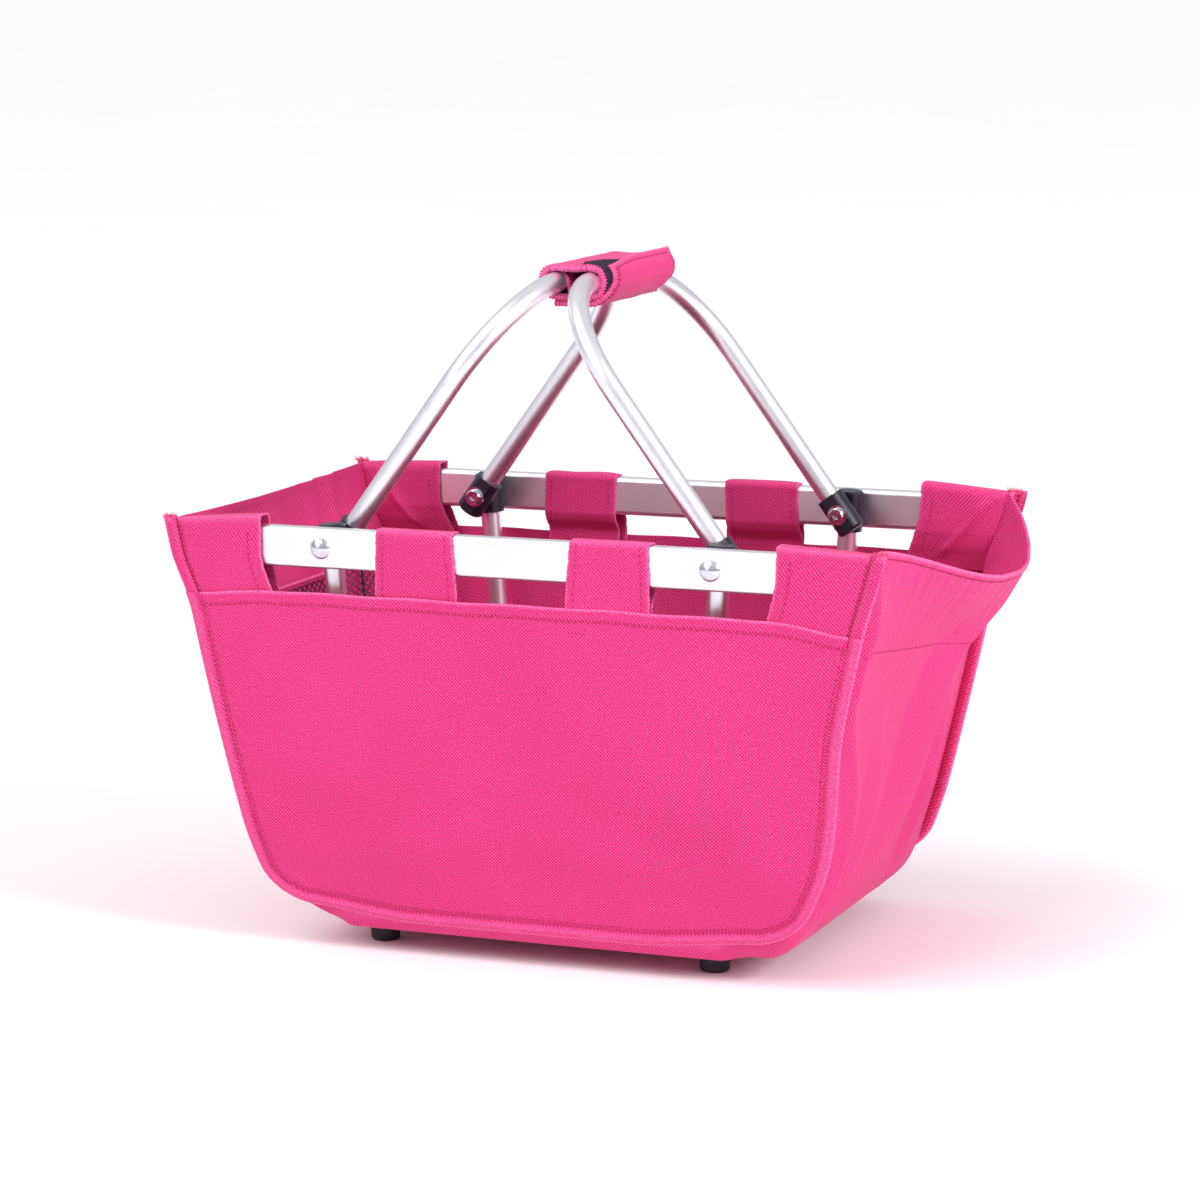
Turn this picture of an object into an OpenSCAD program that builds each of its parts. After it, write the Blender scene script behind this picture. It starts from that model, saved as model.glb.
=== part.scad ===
// Folding market basket: two rim rails, two fold-down leg frames, two swing handles and a sewn bag.
// The origin is on the ground under the middle of the basket. X runs along the rails, -Y is the front.

/* [Frame] */
// Length of each rim rail
rail_len = 424; // [390:1:426]
// Height of the rail section
rail_h = 25; // [22:0.5:27]
// Thickness of the rail section
rail_t = 10; // [8:0.5:12]
// Distance between the outer faces of the two rails
frame_w = 276; // [270:1:290]
// Distance between the left and right pivot bolts
pivot_span = 252; // [240:1:256]
// Height of the pivot bolts above the ground
pivot_h = 254; // [250:1:262]
// Outer diameter of the leg and handle tubes
tube_d = 13; // [12:0.5:13]
// Wall thickness of the tubes and rails
tube_wall = 1.2; // [1:0.1:1.6]

/* [Legs] */
// How far each crossbar stands inward of its pivots
leg_lean = 16; // [10:1:20]
// Centreline radius of the leg bends
leg_bend = 45; // [40:1:50]

/* [Handles] */
// Height of the two grip bars above the ground
grip_h = 410.5; // [400:0.5:425]
// Distance between the two grip bars
grip_gap = 22; // [20:0.5:26]
// Centreline radius of the handle bends
handle_bend = 70; // [60:1:75]

/* [Joints] */
// Length of the moulded end caps
cap_len = 26; // [24:1:30]
// Diameter of the end caps
cap_d = 18; // [17:0.5:19]
// Thickness of the end caps between their flat faces
cap_t = 15.6; // [15.4:0.1:15.8]
// Diameter of the pivot bolt shanks
bolt_d = 6; // [5:0.5:6]

/* [Feet] */
// Height of each foot
foot_h = 14; // [12:0.5:14]
// Diameter of a foot where it meets the bag
foot_d = 20; // [18:0.5:22]
// Distance between the left and right feet
foot_span_x = 220; // [200:1:224]
// Distance between the front and rear feet
foot_span_y = 174; // [150:1:180]

/* [Bag] */
// Length of the front panel along its top corners
bag_top_len = 464; // [450:1:466]
// Length that the sloping ends would reach at the floor
bag_low_len = 352; // [346:1:360]
// Height of the front and rear panel hems above the ground
hem_h = 226; // [222:1:228]
// Radius of the panels' lower corners
corner_r = 46; // [40:1:52]
// Thickness of the bag fabric with its lining
cloth = 1.4; // [1.2:0.1:1.4]
// Thickness of the base board
board_t = 2; // [1.5:0.1:2]
// Width of each belt loop
loop_w = 51; // [40:1:52]
// Length of each corner sleeve along the hem
sleeve_len = 70; // [60:1:74]

/* [Hidden] */
$fn = 96;

// Clearances
play = 0.05;       // radial play of a bolt in a bore
slip = 0.1;        // gap between cloth and what it wraps
gap = 0.4;         // gap between neighbours that turn past each other

// Pivots and the layers of each pivot stack, counted inward from the rail
pivot_x = pivot_span / 2;
rail_out_y = frame_w / 2;
rail_in_y = rail_out_y - rail_t;
leg_y = rail_in_y - gap - cap_t / 2;
handle_y = leg_y - cap_t - gap;
washer_t = 1;
nut_t = 3.4;
washer_y = handle_y - cap_t / 2 - slip;
nut_y = washer_y - washer_t;
bolt_end_y = nut_y - 1;

// Tubes
tube_r = tube_d / 2;
bolt_r = bolt_d / 2;
tube_tail = 10;    // how far a tube runs past its bolt into the cap

// Bag levels
floor_z = foot_h;
board_z = floor_z + cloth + slip;
board_top = board_z + board_t;
crossbar_z = board_top + 0.3 + tube_r;
rail_top = pivot_h + rail_h / 2;
rail_low = pivot_h - rail_h / 2;
bag_top_h = rail_top + slip + cloth;

// Leg frame: a U in one plane that hangs from the pivots and leans inward
leg_drop = pivot_h - crossbar_z;
leg_reach = norm([leg_drop, leg_lean]);
leg_tilt = atan2(leg_lean, leg_drop);

// Handle: a U in one plane that rises from the pivots to the grip bar
handle_run = pivot_x - grip_gap / 2;
handle_rise = grip_h - pivot_h;
handle_reach = norm([handle_run, handle_rise]);
handle_tilt = atan2(handle_run, handle_rise);

// Bag outline
side_slope = (bag_top_len - bag_low_len) / 2 / (bag_top_h - floor_z);
side_tilt = atan(side_slope);
flange = 6;        // how far the seam flange of a panel stands out past the gusset
loop_out_y = rail_out_y + slip + cloth;
panel_in_y = loop_out_y + slip;
panel_out_y = panel_in_y + cloth;
hem_depth = 16;    // upright top band of a panel
skirt = 8;         // how far a corner sleeve reaches down behind the hem
mid_h = 70;        // height where a panel turns in towards the floor
mid_in = 8;        // how far a panel leans in by that height
low_in = 18;       // how far it leans in at the floor
loop_in_y = rail_in_y - slip - cloth;
loop_mid = pivot_x / 2;
tape_t = 1.1;
floor_half = 130;  // half-length of the flat floor between its two seams
pocket_low = 110;
pocket_top = 216;
pocket_half = 112;
binding_h = 10;

// Colours
pink = [0.95, 0.18, 0.50];
deep_pink = [0.75, 0.12, 0.36];
alu = [0.82, 0.82, 0.85];
steel = [0.72, 0.72, 0.75];
navy = [0.10, 0.08, 0.13];

// ---------------------------------------------------------------- helpers

// Carries a child modelled on the left over to the right
module to_right() {
    mirror([1, 0, 0]) children();
}

// Carries a child over between the front and the rear
module to_other_face() {
    mirror([0, 1, 0]) children();
}

// A cylinder along Y, from y1 up to y2
module rod_y(r, y1, y2) {
    translate([0, y1, 0]) rotate([-90, 0, 0]) cylinder(r = r, h = y2 - y1);
}

// A flat shape in the YZ plane, extruded along X from x1 to x2
module along_x(x1, x2) {
    translate([x1, 0, 0]) rotate([90, 0, 90]) linear_extrude(x2 - x1) children();
}

// A flat shape in the XZ plane, extruded along Y from y1 to y2
module along_y(y1, y2) {
    translate([0, y2, 0]) rotate([90, 0, 0]) linear_extrude(y2 - y1) children();
}

// A rectangle with round corners
module round_rect(w, h, r) {
    square([w - 2 * r, h], center = true);
    square([w, h - 2 * r], center = true);
    for (x = [-1, 1], y = [-1, 1])
        translate([x * (w / 2 - r), y * (h / 2 - r)]) circle(r);
}

// A solid U of round bar hanging below the Y axis: two legs, two bends and a crossbar
module u_bar(r, half_w, reach, bend, tail) {
    for (s = [-1, 1]) {
        translate([0, s * half_w, bend - reach]) cylinder(r = r, h = reach - bend + tail);
        translate([0, s * (half_w - bend), bend - reach])
            rotate([-90, 0, s * 90])
                rotate_extrude(angle = 90) translate([bend, 0]) circle(r);
    }
    translate([0, 0, -reach]) rod_y(r, bend - half_w, half_w - bend);
}

// The same U as a tube, drilled for its two bolts
module u_tube(half_w, reach, bend) {
    difference() {
        u_bar(tube_r, half_w, reach, bend, tube_tail);
        u_bar(tube_r - tube_wall, half_w, reach, bend, tube_tail + 1);
        rod_y(bolt_r + play, -half_w - tube_d, half_w + tube_d);
    }
}

// A moulded cap on a tube end: round, with two flat faces and a bolt hole across
module end_cap() {
    chamfer = 1.5;
    difference() {
        intersection() {
            union() {
                translate([0, 0, -cap_len / 2]) cylinder(d = cap_d, h = cap_len - chamfer);
                translate([0, 0, cap_len / 2 - chamfer])
                    cylinder(d1 = cap_d, d2 = cap_d - 2 * chamfer, h = chamfer);
            }
            cube([cap_d + 1, cap_t, cap_len], center = true);
        }
        translate([0, 0, -cap_len / 2 - 1]) cylinder(r = tube_r, h = cap_len / 2 + 1 + tube_tail);
        rod_y(bolt_r + play, -cap_d, cap_d);
    }
}

// Frame of the left leg U and of the left handle U
module leg_place() {
    translate([-pivot_x, 0, pivot_h]) rotate([0, -leg_tilt, 0]) children();
}

module handle_place() {
    translate([-pivot_x, 0, pivot_h]) rotate([0, 180 + handle_tilt, 0]) children();
}

// ---------------------------------------------------------------- metal frame

module rail() {
    corner = 3;
    color(alu)
        difference() {
            along_x(-rail_len / 2, rail_len / 2)
                translate([rail_in_y + rail_t / 2, pivot_h])
                    difference() {
                        round_rect(rail_t, rail_h, corner);
                        round_rect(rail_t - 2 * tube_wall, rail_h - 2 * tube_wall, corner - tube_wall);
                    }
            for (s = [-1, 1])
                translate([s * pivot_x, 0, pivot_h])
                    rod_y(bolt_r + play, rail_in_y - 1, rail_out_y + 1);
        }
}

module rail_plug() {
    head = 2;
    depth = 12;
    color(navy)
        translate([0, -rail_in_y - rail_t / 2, pivot_h]) {
            translate([-rail_len / 2 - head, 0, 0])
                rotate([90, 0, 90]) linear_extrude(head) round_rect(rail_t, rail_h, 3);
            translate([-rail_len / 2, 0, 0])
                rotate([90, 0, 90]) linear_extrude(depth)
                    round_rect(rail_t - 2 * tube_wall, rail_h - 2 * tube_wall, 1.8);
        }
}

// Domed head outside the rail, shank through the whole stack
module bolt() {
    head_r = 6.6;
    head_h = 3.3;
    dome_r = (head_r * head_r + head_h * head_h) / (2 * head_h);
    color(steel)
        translate([-pivot_x, 0, pivot_h]) {
            intersection() {
                rod_y(head_r, -rail_out_y - head_h, -rail_out_y);
                translate([0, dome_r - head_h - rail_out_y, 0]) sphere(dome_r);
            }
            rod_y(bolt_r, -rail_out_y, -bolt_end_y);
        }
}

module washer() {
    color(steel)
        translate([-pivot_x, 0, pivot_h])
            difference() {
                rod_y(6.5, -washer_y, -washer_y + washer_t);
                rod_y(bolt_r + play, -washer_y - 1, -washer_y + washer_t + 1);
            }
}

// Round nut with a hexagonal key socket in its inner face
module nut() {
    socket_r = 2.31;
    color(steel)
        translate([-pivot_x, 0, pivot_h])
            difference() {
                union() {
                    rod_y(5, -nut_y, -nut_y + nut_t - 0.8);
                    translate([0, -nut_y + nut_t - 0.8, 0])
                        rotate([-90, 0, 0]) cylinder(r1 = 5, r2 = 4.2, h = 0.8);
                }
                rod_y(bolt_r, -nut_y - 1, -bolt_end_y);
                translate([0, -nut_y + nut_t + 1, 0])
                    rotate([90, 0, 0]) cylinder(r = socket_r, h = 2.9, $fn = 6);
            }
}

module leg_cap() {
    color(navy) leg_place() translate([0, -leg_y, 0]) end_cap();
}

module handle_cap() {
    color(navy) handle_place() translate([0, -handle_y, 0]) end_cap();
}

module leg_frame() {
    color(alu) leg_place() u_tube(leg_y, leg_reach, leg_bend);
}

module handle() {
    color(alu) handle_place() u_tube(handle_y, handle_reach, handle_bend);
}

// ---------------------------------------------------------------- grip

wrap_front = -38;
wrap_rear = 60;
wrap_pad = 4;
wrap_in = tube_r + 0.35;
wrap_out = wrap_in + wrap_pad;

// Room for both handle tubes inside the grip
module handle_room() {
    for (s = [0, 1])
        mirror([s, 0, 0]) handle_place() u_bar(wrap_in, handle_y, handle_reach, handle_bend, 0);
}

// Section across the two grip bars, grown to radius r
module grip_section(r) {
    square([grip_gap, 2 * r], center = true);
    for (s = [-1, 1]) translate([s * grip_gap / 2, 0]) circle(r);
}

module grip_wrap() {
    color(pink)
        difference() {
            translate([0, 0, grip_h]) along_y(wrap_front, wrap_rear) grip_section(wrap_out);
            handle_room();
        }
}

// Outer flap that closes over the right side of the wrap
module grip_flap() {
    flap_t = 2;
    color(pink)
        difference() {
            translate([0, 0, grip_h])
                along_y(wrap_front + 4, wrap_rear + 4)
                    intersection() {
                        difference() {
                            grip_section(wrap_out + slip + flap_t);
                            grip_section(wrap_out + slip);
                        }
                        translate([4, -20]) square([30, 40]);
                    }
            handle_room();
        }
}

// Hook tape beside the flap's upper edge
module grip_tape() {
    color(navy)
        translate([-4, wrap_front + 2, grip_h + wrap_out])
            cube([7.8, wrap_rear - wrap_front - 4, 1.2]);
}

// ---------------------------------------------------------------- feet and base

module foot() {
    taper = 1;
    round_r = 2;
    recess_r = 4.6;
    recess_h = 5;
    rivet_r = 2;
    low_r = foot_d / 2 - taper;
    color(navy)
        translate([-foot_span_x / 2, -foot_span_y / 2, 0])
            rotate_extrude()
                polygon([
                    [recess_r, 0],
                    [low_r - round_r, 0],
                    for (a = [-75:15:0]) [low_r - round_r + round_r * cos(a), round_r + round_r * sin(a)],
                    [foot_d / 2, foot_h],
                    [rivet_r, foot_h],
                    [rivet_r, recess_h],
                    [recess_r, recess_h]
                ]);
}

module foot_rivets() {
    color(steel)
        for (x = [-1, 1], y = [-1, 1])
            translate([x * foot_span_x / 2, y * foot_span_y / 2, 0]) {
                translate([0, 0, 3]) cylinder(r = 4.4, h = 2);
                translate([0, 0, 5]) cylinder(r = 2, h = board_top - 5);
            }
}

module rivet_holes() {
    for (x = [-1, 1], y = [-1, 1])
        translate([x * foot_span_x / 2, y * foot_span_y / 2, floor_z - 1])
            cylinder(r = 2, h = 10);
}

module base_board() {
    board_x = 246;
    board_y = 222;
    color(navy)
        difference() {
            translate([0, 0, board_z + board_t / 2]) cube([board_x, board_y, board_t], center = true);
            rivet_holes();
        }
}

// ---------------------------------------------------------------- bag

// Long face of the bag seen from the front, with its ends inset and its floor lifted.
// The lower corners are arcs of radius r.
module bag_outline(inset, lift, r) {
    steps = 8;
    turn = 90 - side_tilt;
    low_x = end_x(floor_z + lift, inset);
    centre_x = low_x + r * side_slope - r / cos(side_tilt);
    centre_z = floor_z + lift + r;
    polygon([
        [-end_x(bag_top_h, inset), bag_top_h],
        for (i = [0:steps]) let (a = 180 + side_tilt + i * turn / steps)
            [-centre_x + r * cos(a), centre_z + r * sin(a)],
        for (i = [0:steps]) let (a = 270 + i * turn / steps)
            [centre_x + r * cos(a), centre_z + r * sin(a)],
        [end_x(bag_top_h, inset), bag_top_h]
    ]);
}

// Half-length of the bag at a height, measured to a surface inset by d
function end_x(z, d) = bag_low_len / 2 + (z - floor_z) * side_slope - d / cos(side_tilt);

// Section of a panel's inner face grown outward by d, from the hem down to the floor
function panel_line(d) = [
    [panel_in_y + d, hem_h],
    [panel_in_y + d, hem_h - hem_depth],
    [panel_in_y + d - mid_in, mid_h],
    [panel_in_y + d - low_in, floor_z]
];

function reversed(list) = [for (i = [len(list) - 1:-1:0]) list[i]];

function mirrored(list) = [for (p = list) [-p[0], p[1]]];

// A long panel: a sheet that leans in towards the floor, cut to the bag's outline
module long_panel() {
    color(pink)
        intersection() {
            along_x(-bag_top_len / 2, bag_top_len / 2)
                polygon(concat(panel_line(cloth), reversed(panel_line(0))));
            along_y(0, frame_w) bag_outline(0, 0, corner_r);
        }
}

// Everything between the two long panels and between the corner sleeves
module between_panels() {
    line = panel_line(0);
    side = [
        [rail_out_y, bag_top_h + 1],
        [rail_out_y, hem_h - skirt],
        [panel_in_y, hem_h - skirt],
        line[1],
        line[2],
        line[3]
    ];
    along_x(-bag_top_len, bag_top_len)
        polygon(concat(side, mirrored(reversed(side))));
}

// The sewn strip that runs down one end, along the floor and up the other end
module gusset(x1, x2) {
    r = corner_r - flange / 2;
    intersection() {
        along_y(-frame_w, frame_w)
            difference() {
                bag_outline(flange, 0, r);
                bag_outline(flange + cloth, cloth, r - cloth);
            }
        between_panels();
        translate([x1, -frame_w, 0]) cube([x2 - x1, 2 * frame_w, 2 * bag_top_h]);
    }
}

module end_panel_left() {
    color(deep_pink) gusset(-bag_top_len, -floor_half);
}

module end_panel_right() {
    color(deep_pink) gusset(floor_half, bag_top_len);
}

module floor_panel() {
    color(deep_pink)
        difference() {
            gusset(-floor_half, floor_half);
            rivet_holes();
        }
}

// Corner sleeve round a rail end: a closed ring of cloth with a skirt down to the hem
module sleeve() {
    x1 = bag_top_len / 2 - sleeve_len;
    x2 = bag_top_len / 2;
    ring_low = rail_low - slip - cloth;
    color(pink)
        intersection() {
            union() {
                intersection() {
                    along_x(x1, x2)
                        difference() {
                            translate([loop_in_y, ring_low])
                                square([loop_out_y - loop_in_y, bag_top_h - ring_low]);
                            translate([loop_in_y + cloth, ring_low + cloth])
                                square([loop_out_y - loop_in_y - 2 * cloth, rail_h + 2 * slip]);
                        }
                    along_y(0, frame_w) bag_outline(flange + cloth, cloth, corner_r);
                }
                along_x(x1, x2)
                    translate([loop_out_y - cloth, hem_h - skirt])
                        square([cloth, bag_top_h - hem_h + skirt]);
            }
            along_y(0, frame_w) bag_outline(0, 0, corner_r);
        }
}

// Belt loop: up the outside of the rail, over it, down the inside and back to the tape
module loop() {
    low = hem_h - 14;
    tail_low = hem_h - 6;
    join_z = hem_h + 4;
    tail_y = loop_out_y - 2 * cloth - tape_t - 2 * slip;
    x1 = loop_mid - loop_w / 2;
    color(pink)
        along_x(x1, x1 + loop_w)
            polygon([
                [loop_out_y, low],
                [loop_out_y, bag_top_h],
                [loop_in_y, bag_top_h],
                [loop_in_y, rail_low - slip],
                [tail_y, join_z],
                [tail_y, tail_low],
                [tail_y + cloth, tail_low],
                [tail_y + cloth, join_z],
                [loop_in_y + cloth, rail_low - slip],
                [loop_in_y + cloth, bag_top_h - cloth],
                [loop_out_y - cloth, bag_top_h - cloth],
                [loop_out_y - cloth, low]
            ]);
}

// Hook tape behind each belt loop
module loop_tapes() {
    tape_h = 14;
    color(navy)
        for (x = [-1, 1], y = [-1, 1])
            translate([x * loop_mid, y * (loop_out_y - cloth - slip - tape_t / 2), hem_h - 3])
                cube([loop_w - 6, tape_t, tape_h], center = true);
}

// A sheet of thickness t that lies inside the left end, from z1 up to z2
module end_sheet(z1, z2, half_w, t) {
    outer = flange + cloth + 0.5;
    along_y(-half_w, half_w)
        polygon([
            [-end_x(z1, outer), z1],
            [-end_x(z2, outer), z2],
            [-end_x(z2, outer + t), z2],
            [-end_x(z1, outer + t), z1]
        ]);
}

module mesh_pocket() {
    color(navy) end_sheet(pocket_low, pocket_top - binding_h, pocket_half, 0.8);
}

module pocket_binding() {
    color(navy) end_sheet(pocket_top - binding_h, pocket_top, pocket_half, 2);
}

to_other_face() rail();  // rail_front
rail();  // rail_rear
rail_plug();  // rail_plug_fl
to_right() rail_plug();  // rail_plug_fr
to_other_face() rail_plug();  // rail_plug_rl
to_right() to_other_face() rail_plug();  // rail_plug_rr
bolt();  // bolt_fl
to_right() bolt();  // bolt_fr
to_other_face() bolt();  // bolt_rl
to_right() to_other_face() bolt();  // bolt_rr
washer();  // washer_fl
to_right() washer();  // washer_fr
to_other_face() washer();  // washer_rl
to_right() to_other_face() washer();  // washer_rr
nut();  // nut_fl
to_right() nut();  // nut_fr
to_other_face() nut();  // nut_rl
to_right() to_other_face() nut();  // nut_rr
leg_cap();  // leg_cap_fl
to_right() leg_cap();  // leg_cap_fr
to_other_face() leg_cap();  // leg_cap_rl
to_right() to_other_face() leg_cap();  // leg_cap_rr
handle_cap();  // handle_cap_fl
to_right() handle_cap();  // handle_cap_fr
to_other_face() handle_cap();  // handle_cap_rl
to_right() to_other_face() handle_cap();  // handle_cap_rr
leg_frame();  // leg_frame_left
to_right() leg_frame();  // leg_frame_right
handle();  // handle_left
to_right() handle();  // handle_right
grip_wrap();
grip_flap();
grip_tape();
foot();  // foot_fl
to_right() foot();  // foot_fr
to_other_face() foot();  // foot_rl
to_right() to_other_face() foot();  // foot_rr
foot_rivets();
base_board();
to_other_face() long_panel();  // front_panel
long_panel();  // rear_panel
end_panel_left();
end_panel_right();
floor_panel();
to_right() to_other_face() sleeve();  // sleeve_fl
to_other_face() sleeve();  // sleeve_fr
to_right() sleeve();  // sleeve_rl
sleeve();  // sleeve_rr
to_right() to_other_face() loop();  // loop_fl
to_other_face() loop();  // loop_fr
to_right() loop();  // loop_rl
loop();  // loop_rr
loop_tapes();
mesh_pocket();
pocket_binding();
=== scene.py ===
"""A folding market basket: sewn bag, aluminium frame, two swing handles and a padded grip."""

import math
from itertools import accumulate

import bpy
import numpy as np
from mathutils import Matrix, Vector


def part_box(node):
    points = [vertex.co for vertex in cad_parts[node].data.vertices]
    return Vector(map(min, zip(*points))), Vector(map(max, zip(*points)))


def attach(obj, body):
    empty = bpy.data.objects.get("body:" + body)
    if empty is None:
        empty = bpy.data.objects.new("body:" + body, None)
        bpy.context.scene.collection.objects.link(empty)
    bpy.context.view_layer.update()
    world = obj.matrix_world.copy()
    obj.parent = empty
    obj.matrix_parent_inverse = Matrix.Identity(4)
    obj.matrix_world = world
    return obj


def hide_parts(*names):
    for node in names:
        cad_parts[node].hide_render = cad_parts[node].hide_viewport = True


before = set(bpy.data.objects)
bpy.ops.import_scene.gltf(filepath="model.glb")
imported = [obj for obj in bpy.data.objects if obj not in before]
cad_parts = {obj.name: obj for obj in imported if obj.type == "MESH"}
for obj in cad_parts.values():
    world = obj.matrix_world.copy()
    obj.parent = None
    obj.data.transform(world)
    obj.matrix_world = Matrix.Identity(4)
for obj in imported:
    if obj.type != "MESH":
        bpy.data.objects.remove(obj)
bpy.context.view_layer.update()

# ---------- sizes, from the frame

MM = 0.001
FRONT, REAR = -1, 1
LEFT, RIGHT = -1, 1

panel_low, panel_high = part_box("rear_panel")
sleeve_low, sleeve_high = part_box("sleeve_rr")
rail_low, rail_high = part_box("rail_rear")
loop_low, loop_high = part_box("loop_rr")
tape_low, tape_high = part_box("loop_tapes")
net_low, net_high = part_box("mesh_pocket")
wrap_low, wrap_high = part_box("grip_wrap")
_, board_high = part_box("base_board")

CLOTH = 1.1 * MM
FLOOR_Z = panel_low.z
HEM_Z = panel_high.z
TOP_Z = sleeve_high.z
TOP_HALF = sleeve_high.x
SLOPE = (TOP_HALF - panel_high.x) / (TOP_Z - HEM_Z)
TILT = math.atan(SLOPE)
COS, SIN = math.cos(TILT), math.sin(TILT)
PANEL_Y = panel_high.y
RING_Y = sleeve_high.y
RING_IN_Y = sleeve_low.y
SLEEVE_X = sleeve_low.x
RING_MIDDLE_Y = (RING_Y + RING_IN_Y) / 2
RAIL_Z = (rail_low.z + rail_high.z) / 2
LOOP_X = (loop_low.x + loop_high.x) / 2
LOOP_HALF = (loop_high.x - loop_low.x) / 2
MIDDLE = (0, 0, (FLOOR_Z + HEM_Z) / 2)      # a point inside the bag

# Cut and seams of the bag
CORNER_R = 36 * MM
SEAM = 8 * MM                # width of the flange outside the seam
STITCH_ROW = 10.6 * MM       # topstitching, measured from the flange's edge
THREAD_LIFT = 0.1 * MM       # of a stitch line off the cloth
EDGE_STITCH = 8.5 * MM       # stitch line of a sleeve, from its free edge
HEM_BAND = 6.5 * MM          # folded hem of a long panel
END_BAND = 3 * MM            # folded hem of an end
HEM_LEAN = 16 * MM           # upright top band of a long panel
LOW_LEAN = 18 * MM           # how far a long panel leans in at the floor
ARC_Z = FLOOR_Z + CORNER_R
ARC_X = TOP_HALF - (TOP_Z - ARC_Z) * SLOPE - CORNER_R / COS
FLAT_SHARE = 0.78            # of the strip's width at a corner, before it curls to its seams
END_HEM_SAG = 32 * MM        # how low the right end's hem hangs
END_HEM_OUT = 37 * MM        # how far it stands out there, past the end seams
NET_RISE = 3 * MM            # the net pocket's edge, stretched above its cut height
END_STITCH = 47 * MM         # second stitch line of an end, below its hem

# Sleeves and belt loops, which ring a rail
RING_BEND = 4.2 * MM         # radius of their bends
RING_ROWS = 120              # points along their section

# Points along and across the sheets
SLEEVE_COLUMNS = 64
LOOP_COLUMNS = 44
PANEL_ROWS, PANEL_COLUMNS = 150, 300
END_ROWS, CORNER_ROWS, FLOOR_ROWS = 110, 22, 90
STRIP_COLUMNS = 150
PANEL_HEM_COLUMNS, END_HEM_COLUMNS = 240, 260
FLANGE_COLUMNS = 520
STITCH_POINTS = 600
GRIP_ROWS = 150


# ---------- small maths

def smooth(t):
    t = np.clip(t, 0, 1)
    return t * t * (3 - 2 * t)


def bump(t):
    """1 at t = 0, falling softly to 0 at t = -1 and t = 1."""
    return smooth(1 - np.abs(t))


def bell(t):
    return np.exp(-t * t)


def step_up(value, start, run):
    """From 0 at start softly up to 1 a run further on. start and run are in mm."""
    return smooth((value - start * MM) / (run * MM))


def step_down(value, end, run):
    """From 1 softly down to 0 at end, over a run. end and run are in mm."""
    return smooth((end * MM - value) / (run * MM))


def bump_at(value, middle, half):
    """A bump round a middle. middle and half its width are in mm."""
    return bump((value - middle * MM) / (half * MM))


def bell_at(value, middle, spread):
    """A bell round a middle. middle and spread are in mm."""
    return bell((value - middle * MM) / (spread * MM))


def waves(a, b, seed, size):
    """Gentle unevenness between about -1 and 1 over two coordinates."""
    rng = np.random.default_rng(seed)
    total = 0
    for _ in range(7):
        angle, phase = rng.uniform(0, 2 * math.pi, 2)
        turn = 2 * math.pi / (size * rng.uniform(0.6, 1.7))
        total = total + np.sin(turn * (a * math.cos(angle) + b * math.sin(angle)) + phase)
    return total / 4


def soft_min(heights, blend):
    """The lowest of several heights, with its creases rounded."""
    return -blend * np.log(sum(np.exp(-h / blend) for h in heights))


def unit(vectors):
    return vectors / np.maximum(np.linalg.norm(vectors, axis=-1, keepdims=True), 1e-9)


def rounded(corners, radius, steps=6):
    """A flat polyline with each inner corner turned into an arc."""
    corners = [np.array(c, float) for c in corners]
    line = [corners[0]]
    for before, corner, after in zip(corners, corners[1:], corners[2:]):
        back, on = unit(before - corner), unit(after - corner)
        half_turn = math.acos(np.clip(back @ on, -1, 1)) / 2
        run = min(radius / math.tan(half_turn), 0.49 * np.linalg.norm(before - corner),
                  0.49 * np.linalg.norm(after - corner))
        start, end = corner + back * run, corner + on * run
        for t in np.linspace(0, 1, steps):
            line.append((1 - t) ** 2 * start + 2 * t * (1 - t) * corner + t * t * end)
    line.append(corners[-1])
    return np.array(line)


def along(line):
    """Distance travelled along a polyline at each of its points."""
    steps = np.linalg.norm(np.diff(line, axis=0), axis=1)
    return np.concatenate([[0], np.cumsum(steps)])


def sampled(line, travelled, at):
    """Points or directions of a line at distances along it. travelled is the distance at each point."""
    return np.stack([np.interp(at, travelled, line[:, k]) for k in range(line.shape[1])], -1)


def respaced(line, count):
    """The same polyline with evenly spaced points."""
    travelled = along(line)
    return sampled(line, travelled, np.linspace(0, travelled[-1], count))


def joined(*coordinates):
    """Coordinates of any matching shapes as one array of points."""
    return np.stack(np.broadcast_arrays(*coordinates), -1)


def part(line, start, end):
    """The points of a line between two shares of their count."""
    return line[round(start * len(line)):round(end * len(line))]


# ---------- shader helpers

def new_material(name, slot_name):
    material = bpy.data.materials.new(name)
    material.use_nodes = True
    material["slot"] = slot_name
    tree = material.node_tree
    return material, tree, tree.nodes["Principled BSDF"]


def node(tree, kind, **settings):
    made = tree.nodes.new("ShaderNode" + kind)
    for key, value in settings.items():
        setattr(made, key, value)
    return made


def math_node(tree, operation, a, b=0.0):
    made = node(tree, "Math", operation=operation)
    for socket, value in zip(made.inputs, (a, b)):
        if isinstance(value, float):
            socket.default_value = value
        else:
            tree.links.new(value, socket)
    return made.outputs[0]


def add(tree, a, b):
    return math_node(tree, "ADD", a, b)


def times(tree, a, b):
    return math_node(tree, "MULTIPLY", a, b)


def preset(made, **values):
    """Set constant inputs by name, with _ for a space."""
    for key, value in values.items():
        made.inputs[key.replace("_", " ")].default_value = value


def feed(tree, made, name, value):
    tree.links.new(value, made.inputs[name])


def noise(tree, vector, scale, detail=3, roughness=0.5):
    made = node(tree, "TexNoise")
    preset(made, Scale=scale, Detail=detail, Roughness=roughness)
    feed(tree, made, "Vector", vector)
    return made.outputs["Fac"]


def remap(tree, value, low, high, new_low=0.0, new_high=1.0):
    made = node(tree, "MapRange")
    preset(made, From_Min=low, From_Max=high, To_Min=new_low, To_Max=new_high)
    feed(tree, made, "Value", value)
    return made.outputs["Result"]


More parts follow.
